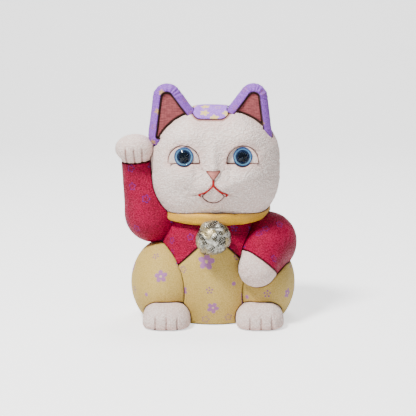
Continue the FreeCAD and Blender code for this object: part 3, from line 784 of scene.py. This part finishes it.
white_crepe = crepe("white_crepe", (0.90, 0.80, 0.75), (0.70, 0.55, 0.50), (0.25, 0.07, 0.05),
                    grain=1.9, height=0.6, groove_width=0.7, seam_shade_tint=(0.72, 0.38, 0.33))
paw_crepe = crepe("paw_crepe", (0.88, 0.76, 0.71), (0.66, 0.49, 0.44), (0.22, 0.06, 0.04),
                  grain=1.5, height=0.5, groove_width=0.8, seam_shade_tint=(0.70, 0.35, 0.29))
lining_crepe = crepe("lining_crepe", (0.86, 0.75, 0.70), (0.70, 0.54, 0.49), (0.50, 0.26, 0.22),
                     grain=1.3, height=0.25, gloss=0.6, groove_width=1.0)
crimson_crepe = crepe("crimson_crepe", (0.42, 0.0005, 0.055), (0.18, 0.0, 0.018), (0.010, 0.0, 0.0),
                      grain=1.3, height=0.5, gloss=0.36, shine=0.12, groove_width=1.5,
                      petals=((0.08, 0.015, 0.20), (0.20, 0.07, 0.32), (0.07, 0.02, 0.22)))
gold_crepe = crepe("gold_crepe", (0.62, 0.45, 0.125), (0.46, 0.31, 0.07), (0.045, 0.012, 0.001),
                   grain=1.0, height=0.2, gloss=0.52, groove_width=1.2,
                   petals=((0.30, 0.09, 0.36), (0.66, 0.50, 0.22), (0.20, 0.05, 0.25)))
purple_crepe = crepe("purple_crepe", (0.32, 0.11, 0.60), (0.19, 0.055, 0.40), (0.018, 0.003, 0.022),
                     grain=1.1, height=0.3, sheen=0.05, gloss=0.5, groove_width=1.2,
                     petals=((0.52, 0.30, 0.09), (0.66, 0.48, 0.12), (0.32, 0.12, 0.03)))
# the crown band's crepe: the purple crepe's colours and print, lighter throughout
lilac_crepe = crepe("lilac_crepe", (0.44, 0.19, 0.80), (0.26, 0.09, 0.54), (0.03, 0.006, 0.04),
                    grain=1.0, height=0.2, sheen=0.05, gloss=0.5, groove_width=1.0,
                    petals=((0.76, 0.58, 0.12), (0.82, 0.48, 0.08), (0.64, 0.42, 0.12)))
ear_cloth = plain_weave("ear_cloth", (0.33, 0.07, 0.075), (0.13, 0.02, 0.025), (0.012, 0.001, 0.001))
nose_cloth = plain_weave("nose_cloth", (0.62, 0.25, 0.20), (0.42, 0.13, 0.11), (0.14, 0.03, 0.02),
    thread=0.4)
cord_silk = plain_weave("red_cord", (0.50, 0.006, 0.006), (0.22, 0.001, 0.001), (0.2, 0.0, 0.0), thread=0.3)
collar_cloth = crepe("collar_cloth", (0.72, 0.42, 0.012), (0.52, 0.26, 0.004), (0.10, 0.02, 0.001),
                     grain=0.9, height=0.16, gloss=0.45, groove_width=1.6, seam_shade_tint=(0.72, 0.38, 0.15))

# ---------------------------------------------------------------- covers of the head

HEAD_BOX = ((-57, -64, 80), (61, 49, 190))


def ear_pleats(n):
    """Gathers that fan out over the ear's tip, where the hood's cloth is eased round it."""
    tip_x, tip_z = n * EAR_CIRCLES[0][0] + EAR["x"], EAR_CIRCLES[0][1]

    def lift(points, normals, inward):
        angle = np.arctan2(points[:, 2] - tip_z, (points[:, 0] - tip_x) * n)
        fan = np.sin(angle * 17 + 1.3 * np.sin(angle * 5)) * smooth((points[:, 2] - tip_z + 7) / 10)
        return 0.34 * fan * smooth(inward / 1.5) * smooth((12 - inward) / 8)

    return lift


def mouth_lines(points, normals, inward):
    """Fine creases: beside the nose up to the eyes, out from the mouth's corners, and under the chin."""
    x, z = points[:, 0], points[:, 2]
    across = np.abs(x)
    lift = np.zeros(len(points))
    creases = (
        ((6.2, 131.6), (9.4, 135.6), 0.45),
        ((9.4, 135.6), (11.4, 140.6), 0.5),
        ((11.0, 114.2), (15.0, 113.2), 0.75),
        ((15.0, 113.2), (20.5, 112.8), 0.5),
        ((0.0, 126.8), (0.0, 121.6), 0.5),
        ((0.0, 121.6), (5.2, 117.0), 0.5),
        ((5.2, 117.0), (11.0, 114.2), 0.5),
        ((0.0, 107.6), (0.0, 97.0), 0.2),
    )
    for a, b, depth in creases:
        d, t = segment_2d(across, z, a, b)
        lift = lift - depth * bump(d, 0.75) * (points[:, 1] < -30)
    return lift


face_limits = [
    gap_from(face_edge),
    above(NECK + 0.3),
    outside(ear_bodies["right"]),
    outside(ear_bodies["left"]),
    outside(sockets["right"], 0.0),
    outside(sockets["left"], 0.0),
    gap_from(chin_edge, -1),
]
panel("face_cover", white_crepe, head, face_limits, HEAD_BOX,
      step=0.75, roll=1.5, pucker=0.36, extra=mouth_lines, seed=11)
panel("chin_patch", white_crepe, head, [gap_from(chin_edge)],
      ((-12, -62, 104), (12, -46, 124)), step=0.5, roll=1.0, pucker=0.12, seed=12)


def crown_edge(x, y, z):
    return np.maximum(np.abs(x - EAR["x"]) - 15.5, y - 22.0)


hood_limits = [gap_from(face_edge, -1), above(NECK + 0.3), outside(ears["right"]), outside(ears["left"])]
panel("hood_crown", lilac_crepe, head,
      hood_limits + [gap_from(crown_edge), above(HEAD["z"])], ((-21, -44, 165), (17, 26, 191)),
      step=0.7, roll=1.4, pucker=0.08, seed=13,
      fill=(10.5, ((4.2, "solid"), (2.8, "outline"), (3.2, "solid"))))
panel("hood_back", purple_crepe, head,
      hood_limits + [gap_from(crown_edge, -1)], HEAD_BOX, step=0.9, roll=1.6, pucker=0.12, seed=14,
      fill=(17, ((3.2, "solid"), (2.6, "outline"), (2.6, "dots"))))

for side, n in SIDES.items():
    x0, x1 = sorted((n * 9 + EAR["x"], n * 56 + EAR["x"]))
    ear_box = ((x0, -35, 146), (x1, -9, 208))
    panel(f"{side}_ear_cover", purple_crepe, ears[side],
          [shallow(head), outside(ear_recess(n), 0.0)], ear_box, step=0.65, roll=1.6, pucker=0.1,
          seed=20 + n, extra=ear_pleats(n),
          fill=(13, ((2.8, "solid"), (2.4, "outline"))))
    panel(f"{side}_ear_inner", ear_cloth,
          lambda x, y, z, n=n: EAR["y"] - EAR["half"] + EAR["recess"] - y,
          [lambda x, y, z, n=n: ear_outline(n * (x - EAR["x"]), z, EAR["rim"]) + 0.45, outside(head)],
          ear_box, step=0.6, roll=1.6, thickness=1.2, pucker=0.06, seed=30 + n)

# ---------------------------------------------------------------- covers of the body

BELLY_FLOWERS = [
    (-5.5, 56.0, 7.2, "solid", 12),
    (-24.5, 48.5, 3.2, "outline", 0),
    (17.5, 37.0, 2.6, "bud", 0),
    (-3.0, 31.8, 3.6, "dots", 18),
    (-0.3, 16.0, 5.2, "solid", -8),
    (12.5, 7.5, 3.4, "outline", 30),
    (-6.3, 6.0, 3.4, "outline", 0),
    (-26.5, 30.0, 4.2, "solid", 40),
]
THIGH_FLOWERS = {
    "right": [
        (-53.0, 67.0, 3.8, "outline", 10),
        (-62.5, 59.0, 2.4, "bud", 0),
        (-48.5, 57.0, 3.4, "dots", 0),
        (-44.5, 43.5, 5.6, "solid", 25),
        (-57.0, 27.0, 2.4, "bud", 0),
        (-66.0, 28.5, 3.4, "dots", 0),
    ],
    "left": [
        (60.0, 52.5, 3.4, "dots", 0),
        (45.5, 28.8, 3.8, "dots", 15),
        (64.0, 26.5, 4.6, "solid", 0),
        (29.0, 25.0, 2.6, "bud", 0),
    ],
}
GOLD_FILL = (16, ((5.2, "solid"), (3.6, "outline"), (3.4, "dots"), (2.4, "bud"), (3.0, "outline")))
RED_FILL = (15, ((3.2, "outline"), (3.0, "dots"), (3.2, "outline")))


def foot_toes(n):
    """Three short grooves between the toes, up the foot's front."""

    def lift(points, normals, inward):
        x, y, z = points.T
        total = np.zeros(len(points))
        for offset in (-9.2, 0.4, 9.6):
            d = x - n * FOOT["x"] - offset - (y + 68) * 0.03 * n
            total = total - 1.15 * bump(d, 0.7) * smooth((-57.0 - y) / 6.0) * smooth((14.5 - z) / 5.0)
        return total

    return lift




def front_half(x, y, z):
    return y - TORSO["y"]


def rear_half(x, y, z):
    return TORSO["y"] - y


limb_limits = [outside(f) for f in (*thighs.values(), *feet.values(), raised_arm, lowered_arm)]

for side, n in SIDES.items():
    x0, x1 = sorted((n * 4, n * 76))
    panel(f"{side}_thigh_cover", gold_crepe, thighs[side],
          [shallow(torso), outside(feet[side]), outside(raised_arm), outside(lowered_arm),
              above(FLOOR_CLEAR)],
          ((x0, -56, 0), (x1, 42, 73)), step=0.85, roll=1.7, pucker=0.06, seed=40 + n,
          flowers=THIGH_FLOWERS[side], fill=GOLD_FILL)
    panel(f"{side}_foot_cover", paw_crepe, feet[side],
          [shallow(torso), shallow(thighs[side]), above(FLOOR_CLEAR)],
          ((min(n * 17, n * 62), -71, 0), (max(n * 17, n * 62), -14, 24)), step=0.6, roll=1.0,
          pucker=0.2, seed=50 + n, extra=foot_toes(n))

panel("belly_cover", gold_crepe, torso,
      limb_limits + [gap_from(belly_edge), outside(bell), above(FLOOR_CLEAR), front_half],
      ((-48, -54, 0), (48, 4, 84)), step=0.8, roll=1.6, pucker=0.06, seed=60,
      flowers=BELLY_FLOWERS, fill=GOLD_FILL)
panel("seat_cover", gold_crepe, torso,
      limb_limits + [lambda x, y, z: z - WAIST + GAP / 2, rear_half, above(FLOOR_CLEAR)],
      ((-54, 0, 0), (54, 56, 50)), step=0.9, roll=1.6, pucker=0.06, seed=61, fill=GOLD_FILL)
for side, n in SIDES.items():
    x0, x1 = sorted((0, n * 52))
    panel(f"{side}_jacket_front", crimson_crepe, torso,
          limb_limits + [gap_from(belly_edge, -1), outside(bell), outside(collar), front_half,
                         lambda x, y, z, n=n: GAP / 2 - n * x],
          ((x0 - 1, -54, 44), (x1 + 1, 4, 93)), step=0.75, roll=1.6, pucker=0.14, seed=70 + n,
          flowers=[(-34.0, 71.0, 3.0, "outline", 0), (-18.6, 75.5, 3.2, "outline", 30),
                   (-36.0, 60.0, 2.8, "outline", 0), (17.8, 83.5, 3.8, "dots", 10)],
          fill=RED_FILL)
panel("jacket_back", crimson_crepe, torso,
      limb_limits + [lambda x, y, z: WAIST - z + GAP / 2, outside(collar), rear_half],
      ((-54, 0, 46), (54, 56, 93)), step=0.9, roll=1.6, pucker=0.14, seed=73, fill=RED_FILL)

# ---------------------------------------------------------------- covers of the arms


def toe_grooves(points, normals, inward):
    """Three grooves on the raised paw's front, from its middle down to the cuff."""
    x, y, z = points.T
    lift = np.zeros(len(points))
    for toe in (-74.5, -67.2, -60.2):
        reach = smooth((153.5 - z) / 5.0) * smooth((-18.0 - y) / 6.0)
        lift = lift - 1.25 * bump(x - toe - 0.05 * (z - 146) * np.sign(toe + 67), 0.75) * reach
    return lift


def paw_creases(points, normals, inward):
    """Short creases at the lowered paw's lower inner edge."""
    x, y, z = points.T
    lift = np.zeros(len(points))
    for a, b in (((27.5, 41.5), (33.0, 48.0)), ((31.5, 38.0), (36.0, 44.0)), ((24.0, 47.0), (29.5, 52.0))):
        d, t = segment_2d(x, z, a, b)
        lift = lift - 0.4 * bump(d, 0.8) * (y < -48)
    return lift


RAISED_BOX = ((-88, -42, 60), (-20, 26, 166))
LOWERED_BOX = ((14, -68, 30), (78, 28, 98))
panel("raised_sleeve", crimson_crepe, raised_arm,
      [wrist_edge(RAISED, 1), shallow(torso), outside(head)], RAISED_BOX, step=0.85, roll=1.7,
      pucker=0.14, seed=80, fill=RED_FILL,
      flowers=[(-70.5, 133.0, 3.4, "outline", 0), (-68.5, 117.5, 3.6, "outline", 20),
               (-57.5, 107.0, 3.8, "outline", 0), (-65.0, 81.5, 3.4, "outline", 40),
               (-73.0, 84.0, 3.0, "outline", 0)])
panel("raised_paw_cover", paw_crepe, raised_arm,
      [wrist_edge(RAISED, -1), outside(head)], ((-87, -40, 130), (-46, 4, 166)), step=0.6, roll=1.4,
      pucker=0.2, seed=81, extra=toe_grooves)
panel("lowered_sleeve", crimson_crepe, lowered_arm,
      [wrist_edge(LOWERED, 1), shallow(torso), shallow(thighs["left"]), outside(head)], LOWERED_BOX,
      step=0.8, roll=1.7, pucker=0.14, seed=82, fill=RED_FILL,
      flowers=[(56.5, 83.5, 3.2, "outline", 0), (45.0, 82.0, 3.2, "outline", 0),
               (50.0, 59.0, 3.4, "outline", 0), (39.0, 78.5, 3.0, "outline", 0)])
panel("lowered_paw_cover", paw_crepe, lowered_arm,
      [wrist_edge(LOWERED, -1), shallow(torso), shallow(thighs["left"])],
      ((14, -68, 28), (62, -18, 74)), step=0.6, roll=1.4, pucker=0.22, seed=83, extra=paw_creases)

# ---------------------------------------------------------------- collar and bell


def collar_folds(points, normals, inward):
    """Long shallow drag lines round the padded roll."""
    angle = np.arctan2(points[:, 1] - COLLAR["y"], points[:, 0] - COLLAR["x"])
    drag = np.stack([angle * 14.0, points[:, 2] * 0.9, length(points[:, 0], points[:, 1]) * 0.6], 1)
    return 0.35 * lattice_noise(drag, 2.4, 5)


collar_piece = panel(
    "collar_roll", collar_cloth, collar,
    [outside(head), outside(torso), outside(bell), outside(raised_arm), outside(lowered_arm)],
    ((-50, -54, 84), (54, 54, 106)), step=0.7, roll=1.4, thickness=30.0, pucker=0.06, seed=90,
    extra=collar_folds,
)


def brocade():
    """Metallic brocade: silver and pale gold threads in a small broken pattern, dark between them."""
    n = Nodes("brocade")
    place = n.warped(150.0, 0.004)
    lanes = [
        n.bands("X", 190.0, n.mapped(turn=(0.3, turn, 0.0), vector=place), 0.8) for turn in (0.6, -0.9)
    ]
    lattice = n.ramp(n.math("MULTIPLY", lanes[0], lanes[1]), 0.25, 0.55)
    patch = n.ramp(n.noise(150.0, 2.0, 0.5), 0.48, 0.56)
    silver = n.mix(n.ramp(n.noise(380.0, 3.0), 0.35, 0.65), (0.30, 0.29, 0.24), (0.66, 0.66, 0.60))
    gold = n.mix(n.noise(300.0, 2.0), (0.30, 0.23, 0.09), (0.62, 0.52, 0.30))
    colour = n.mix(n.ramp(n.noise(110.0, 2.0), 0.45, 0.60), silver, gold)
    colour = n.mix(n.math("MULTIPLY", n.math("SUBTRACT", 1.0, lattice), patch), colour, (0.035, 0.03, 0.02))
    # painted shade: darker down in the crumpled folds
    colour = n.mix(n.ramp(n.attribute("crease"), 0.2, 0.9, 0.0, 0.7), colour, (0.05, 0.04, 0.025))
    relief = n.math("ADD", lattice, n.noise(900.0, 3.0, 0.6))
    rough = n.ramp(n.noise(300.0, 2.0), 0.3, 0.7, 0.22, 0.42)
    return n.finish(colour, rough, n.bump(relief, 0.9, 0.2 * MM), Metallic=0.6)


def crumple(points, normals, inward):
    """Flat facets and sharp folds where the stiff cloth is drawn over the ball and tied behind."""
    rng = np.random.default_rng(4)
    ways = rng.normal(size=(34, 3))
    ways /= np.linalg.norm(ways, axis=1)[:, None]
    out = points - BELL_CENTRE
    out = out / np.linalg.norm(out, axis=1)[:, None]
    bent = out + 0.10 * np.stack([lattice_noise(points, 6.0, k) for k in (31, 32, 33)], 1)
    nearest = np.sort(bent @ ways.T, axis=1)
    facet = 1.3 - 13.0 * (1 - nearest[:, -1])
    crease = -0.7 * bump(nearest[:, -1] - nearest[:, -2], 0.03)
    fold = 0.3 * lattice_noise(points * (1.0, 1.0, 0.5), 3.0, 9)
    return np.clip(facet + crease + fold, -0.5, 1.4)


bell_piece = panel(
    "bell_cover", brocade(), bell, [lambda x, y, z: -30.0 + 0 * (x + y + z)],
    (BELL_LOW - 1, BELL_HIGH + 1), step=0.5, roll=0.5, thickness=0.7, pucker=0.05, seed=91, extra=crumple,
)

# ---------------------------------------------------------------- eyes


def lathe(profile, segments=72):
    """Points and faces of a profile of (radius, depth) turned about the Y axis; its ends may lie on it."""
    points, faces = [], []
    rings = []
    for radius, depth in profile:
        if radius < 1e-6:
            rings.append([len(points)])
            points.append((0.0, depth, 0.0))
            continue
        ring = []
        for i in range(segments):
            a = 2 * math.pi * i / segments
            ring.append(len(points))
            points.append((radius * math.cos(a), depth, radius * math.sin(a)))
        rings.append(ring)
    for first, second in zip(rings, rings[1:]):
        for i in range(segments):
            a = first[i % len(first)], first[(i + 1) % len(first)]
            b = second[i % len(second)], second[(i + 1) % len(second)]
            loop = [a[0], a[1], b[1], b[0]]
            loop = [p for k, p in enumerate(loop) if p != loop[k - 1]]
            if len(loop) > 2:
                faces.append(loop)
    return np.array(points), faces


def glass():
    n = Nodes("eye_glass")
    smear = n.noise(90.0, 2.0)
    n.material.surface_render_method = "BLENDED"
    tint = n.mix(smear, (0.01, 0.02, 0.035), (0.02, 0.03, 0.05))
    return n.finish(tint, n.ramp(smear, 0.3, 0.7, 0.02, 0.05), Alpha=0.16, Specular_IOR_Level=0.6)


def iris_paint():
    """Pale blue ring inside a navy rim, with fine radial streaks, fading to navy at the pupil; painted
    light makes the blue paler towards the bottom and deeper towards the top.
    """
    n = Nodes("eye_blue")
    ring = n.attribute("ring")
    streak = n.noise(700.0, 3.0, 0.7)
    height = n.attribute("height")
    # painted light: paler blue low down on the ring, deeper blue towards the top
    blue = n.mix(n.ramp(height, -0.7, 0.9), (0.14, 0.48, 0.80), (0.045, 0.22, 0.52))
    blue = n.mix(n.math("MULTIPLY", streak, 0.4), blue, (0.30, 0.62, 0.86))
    colour = n.mix(n.ramp(ring, 5.7, 6.3), (0.002, 0.016, 0.075), blue)
    colour = n.mix(n.ramp(ring, 6.9, 7.4), colour, (0.008, 0.055, 0.25))
    return n.finish(colour, 0.3, None, Coat_Weight=0.6, Coat_Roughness=0.05)


def pupil_paint():
    n = Nodes("eye_black")
    grain = n.noise(1800.0, 2.0)
    colour = n.mix(grain, (0.0005, 0.0005, 0.001), (0.002, 0.003, 0.006))
    colour = n.mix(n.ramp(n.attribute("ring"), 3.4, 5.0), colour, (0.002, 0.014, 0.06))
    return n.finish(colour, 0.6, None, Specular_IOR_Level=0.05)


glass_material, iris_material, pupil_material = glass(), iris_paint(), pupil_paint()


def eye_part(name, profile, centre, material):
    points, faces = lathe(profile)
    ring = length(points[:, 0], points[:, 2])
    # height drives the painted light on the iris ring
    height = points[:, 2] / 8.1
    obj = make_object("doll_" + name, points + centre, faces, {"ring": ring, "height": height})
    mesh = bmesh.new()
    mesh.from_mesh(obj.data)
    bmesh.ops.recalc_face_normals(mesh, faces=mesh.faces)
    mesh.to_mesh(obj.data)
    mesh.free()
    dress(obj, material, name)


for side, n in SIDES.items():
    iris_low, iris_high = box_mm(f"{side}_eye_iris")
    glass_low, glass_high = box_mm(f"{side}_eye_glass")
    pupil_low, pupil_high = box_mm(f"{side}_eye_pupil")
    middle = np.array([(iris_low[0] + iris_high[0]) / 2, 0, (iris_low[2] + iris_high[2]) / 2])
    radius = (iris_high[0] - iris_low[0]) / 2
    front, back = iris_low[1], iris_high[1]
    rise = front - glass_low[1]
    curve = (radius**2 + rise**2) / (2 * rise)
    arc = []
    for i in range(17):
        a = math.asin(radius / curve) * (1 - i / 16)
        arc.append((curve * math.sin(a), front - rise + curve * (1 - math.cos(a))))
    iris = [(0, back), (radius - 0.25, back), (radius, back - 0.25), (radius, front + 0.12)]
    iris += [(r, front + 0.02) for r in (radius - 0.2, 7.2, 6.6, 6.0, 5.4, 4.5, 2.5)] + [(0, front + 0.02)]
    eye_part(f"{side}_eye_iris", iris, middle, iris_material)
    pupil_radius = (pupil_high[0] - pupil_low[0]) / 2
    pf, pb = pupil_low[1], pupil_high[1]
    pupil = [(0, pb - 0.02), (pupil_radius - 0.1, pb - 0.02), (pupil_radius, (pf + pb) / 2)]
    pupil += [(pupil_radius - 0.2, pf + 0.05), (pupil_radius * 0.5, pf), (0, pf)]
    eye_part(f"{side}_eye_pupil", pupil, middle, pupil_material)
    dome = [(0, pf - 0.12), (pupil_radius + 0.1, pf - 0.12), (pupil_radius + 0.2, front - 0.05)]
    dome += [(radius - 0.1, front - 0.03)] + arc[1:-1] + [(0, glass_low[1])]
    eye_part(f"{side}_eye_glass", dome, middle, glass_material)

for side, n in SIDES.items():
    low, high = box_mm(f"{side}_eye_white")
    panel(f"{side}_eye_white", lining_crepe,
          lambda x, y, z, front=low[1]: front - y,
          [lambda x, y, z, side=side: sockets[side](x, y, z) + 0.15],
          (low - 1.5, high + 1.5), step=0.45, roll=0.5, thickness=0.9, pucker=0.1, seed=95 + n)

# ---------------------------------------------------------------- nose and mouth


def nose_edge(x, y, z):
    """A small triangle, point down, with rounded corners."""
    side = (np.abs(x) - (z - 125.8) * 0.8) * 0.78
    return np.maximum(smax(z - 134.6, side, 1.6), y + 30.0)


panel("nose_patch", nose_cloth, lambda x, y, z: head(x, y, z) - 1.3,
      [nose_edge], ((-9, -66, 123), (9, -50, 137)), step=0.35, roll=1.3, thickness=1.7, pucker=0.06,
      seed=97)


def on_face(x, z):
    """The face's surface at a place seen from the front."""
    near, far = np.full(len(x), -75.0), np.full(len(x), -20.0)
    for _ in range(30):
        middle = (near + far) / 2
        outside_now = head(x, middle, z) > 0
        near, far = np.where(outside_now, middle, near), np.where(outside_now, far, middle)
    return near


def smooth_path(corners, spacing):
    """Evenly spaced points along a Catmull-Rom curve through the corners."""
    c = np.array([corners[0], *corners, corners[-1]], float)
    points = []
    for i in range(1, len(c) - 2):
        a, b, d, e = c[i - 1], c[i], c[i + 1], c[i + 2]
        for t in np.linspace(0, 1, 24, endpoint=False):
            bend, twist = 2 * a - 5 * b + 4 * d - e, 3 * b - a - 3 * d + e
            points.append(0.5 * (2 * b + (d - a) * t + bend * t**2 + twist * t**3))
    points = np.array(points + [c[-1]])
    run = np.concatenate([[0], np.cumsum(np.linalg.norm(np.diff(points, axis=0), axis=1))])
    at = np.linspace(0, run[-1], int(run[-1] / spacing) + 2)
    return np.stack([np.interp(at, run, points[:, k]) for k in range(points.shape[1])], 1)


def twisted_cord(name, route, radius, twist=1.9):
    """Two strands twisted together along a route, with rounded ends."""
    ahead = np.gradient(route, axis=0)
    ahead /= np.linalg.norm(ahead, axis=1)[:, None]
    side = np.cross(ahead, (0.0, -1.0, 0.0))
    side /= np.linalg.norm(side, axis=1)[:, None]
    up = np.cross(side, ahead)
    run = np.concatenate([[0], np.cumsum(np.linalg.norm(np.diff(route, axis=0), axis=1))])
    around = 14
    points = [route[0] - ahead[0] * radius * 0.5]
    for i, centre in enumerate(route):
        from_end = min(run[i], run[-1] - run[i]) / radius
        taper = math.sqrt(max(1 - max(1 - from_end, 0) ** 2, 0.1))
        for k in range(around):
            a = 2 * math.pi * k / around
            r = radius * taper * (0.86 + 0.2 * math.cos(2 * (a - run[i] * twist)))
            points.append(centre + r * (math.cos(a) * side[i] + math.sin(a) * up[i]))
    points.append(route[-1] + ahead[-1] * radius * 0.5)
    faces = [(0, 1 + (k + 1) % around, 1 + k) for k in range(around)]
    for i in range(len(route) - 1):
        for k in range(around):
            a, b = 1 + i * around + k, 1 + i * around + (k + 1) % around
            faces.append((a, b, b + around, a + around))
    last = 1 + (len(route) - 1) * around
    faces += [(last + k, last + (k + 1) % around, len(points) - 1) for k in range(around)]
    return make_object(name, points, faces, {"seam": np.full(len(points), 9.0)})


CORD_RADIUS = 0.66
MOUTH_ROUTE = (
    (0.45, 126.8), (0.42, 124.6), (0.42, 122.6), (1.3, 120.7), (3.6, 118.5), (6.4, 116.5), (9.2, 115.1),
    (11.6, 114.1), (12.1, 113.5), (11.3, 113.0), (10.0, 112.6),
)
for side, n in SIDES.items():
    flat_route = smooth_path([(n * x, z) for x, z in MOUTH_ROUTE], 0.4)
    depth = on_face(flat_route[:, 0], flat_route[:, 1]) - 0.12
    route = np.stack([flat_route[:, 0], depth, flat_route[:, 1]], 1)
    cord = twisted_cord(f"doll_{side}_mouth_cord", route, CORD_RADIUS)
    dress(cord, cord_silk, f"{side}_mouth_cord")

# ---------------------------------------------------------------- cores and hidden pieces


def wood_paste():
    """Pressed wood paste: fine and slightly gritty, coloured darker than the tan paste, for glue and
    painted shade at the groove bottoms where it shows.
    """
    n = Nodes("wood_paste")
    grit = n.noise(900.0, 4.0, 0.65)
    patch = n.noise(60.0, 2.0)
    tone = n.math("MULTIPLY_ADD", grit, 0.6, n.math("MULTIPLY", patch, 0.4))
    # dark brown all over: the glue in the grooves plus painted shade, since the paste shows only at the
    # groove bottoms
    colour = n.mix(tone, (0.035, 0.012, 0.008), (0.13, 0.055, 0.035))
    return n.finish(colour, 0.85, n.bump(grit, 0.6, 0.15 * MM))


def turned_wood(name, light, dark):
    n = Nodes(name)
    grain = n.noise(60.0, 4.0, 0.6, n.mapped((1.0, 1.0, 12.0)), 0.6)
    return n.finish(n.mix(n.ramp(grain, 0.3, 0.7), dark, light), 0.6, n.bump(grain, 0.3, 0.1 * MM))


def felt():
    n = Nodes("felt")
    fibre = n.noise(1600.0, 5.0, 0.7, n.warped(500.0, 0.002))
    colour = n.mix(fibre, (0.07, 0.012, 0.015), (0.24, 0.05, 0.055))
    return n.finish(colour, 0.95, n.bump(fibre, 0.9, 0.25 * MM), Sheen_Weight=0.4)


paste = wood_paste()
beech = turned_wood("dowel_wood", (0.66, 0.44, 0.25), (0.46, 0.27, 0.13))
kept = {"base_felt": felt(), "bell_core": turned_wood("bell_ball", (0.58, 0.42, 0.26), (0.40, 0.26, 0.14))}
for name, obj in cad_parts.items():
    if name.endswith("_stem"):
        kept[name] = glass_material
    elif "dowel" in name:
        kept[name] = beech
    elif "core" in name and name not in kept:
        kept[name] = paste
for name, material in kept.items():
    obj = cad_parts[name]
    obj.data.materials.clear()
    obj.data.materials.append(material)

# ---------------------------------------------------------------- stage and camera


def backdrop():
    """A pale sweep: flat under the figure, curving up into a wall far behind it."""
    profile = [(-4.0, 0.0), (1.6, 0.0)]
    profile += [(1.6 + 1.2 * math.sin(a), 1.2 - 1.2 * math.cos(a)) for a in np.linspace(0.1,
        math.pi / 2, 16)]
    profile.append((2.8, 4.0))
    points = [(x, y, z) for y, z in profile for x in (-5.0, 5.0)]
    faces = [(2 * i, 2 * i + 1, 2 * i + 3, 2 * i + 2) for i in range(len(profile) - 1)]
    sweep = make_object("floor", np.array(points) / MM, faces)
    n = Nodes("floor")
    tone = n.mix(n.noise(3.0, 2.0), (0.86, 0.86, 0.865), (0.84, 0.84, 0.845))
    seen = n.add("ShaderNodeLightPath").outputs["Is Camera Ray"]
    glow = n.math("MULTIPLY", seen, 1.3)
    sweep.data.materials.append(n.finish(tone, 0.9, Emission_Color=(1, 1, 1, 1), Emission_Strength=glow))


backdrop()


def light(name, place, target, size, power, colour=(1, 1, 1)):
    lamp = bpy.data.lights.new(name, "AREA")
    lamp.shape = "DISK"
    lamp.size = size
    lamp.energy = power
    lamp.color = colour
    obj = bpy.data.objects.new(name, lamp)
    bpy.context.scene.collection.objects.link(obj)
    obj.location = place
    way = Vector(target) - Vector(place)
    obj.rotation_euler = way.to_track_quat("-Z", "Y").to_euler()


light("key", (-0.6, -0.75, 1.5), (0, 0, 0.1), 0.36, 66.0, (1.0, 0.99, 0.97))
light("fill", (1.1, -0.9, 0.5), (0, 0, 0.1), 0.7, 2.5, (0.97, 0.98, 1.0))
light("top", (0.1, 0.5, 1.6), (0, 0, 0.1), 0.6, 16.0)
light("wall", (0, 1.0, 2.0), (0, 2.8, 0.9), 1.2, 30.0)

world = bpy.data.worlds.new("studio")
bpy.context.scene.world = world
world.use_nodes = True
background = world.node_tree.nodes["Background"].inputs
background[0].default_value = (0.93, 0.935, 0.94, 1)
background[1].default_value = 0.15

CAMERA_TARGET = (-0.0044, 0.0, 0.0953)
CAMERA_DISTANCE = 1.1
CAMERA_RISE = math.radians(8.0)
camera_data = bpy.data.cameras.new("camera")
camera_data.sensor_width = 36.0
camera_data.lens = 108.1
camera = bpy.data.objects.new("camera", camera_data)
bpy.context.scene.collection.objects.link(camera)
camera.location = (
    CAMERA_TARGET[0],
    CAMERA_TARGET[1] - CAMERA_DISTANCE * math.cos(CAMERA_RISE),
    CAMERA_TARGET[2] + CAMERA_DISTANCE * math.sin(CAMERA_RISE),
)
camera.rotation_euler = (math.pi / 2 - CAMERA_RISE, 0, 0)
bpy.context.scene.camera = camera
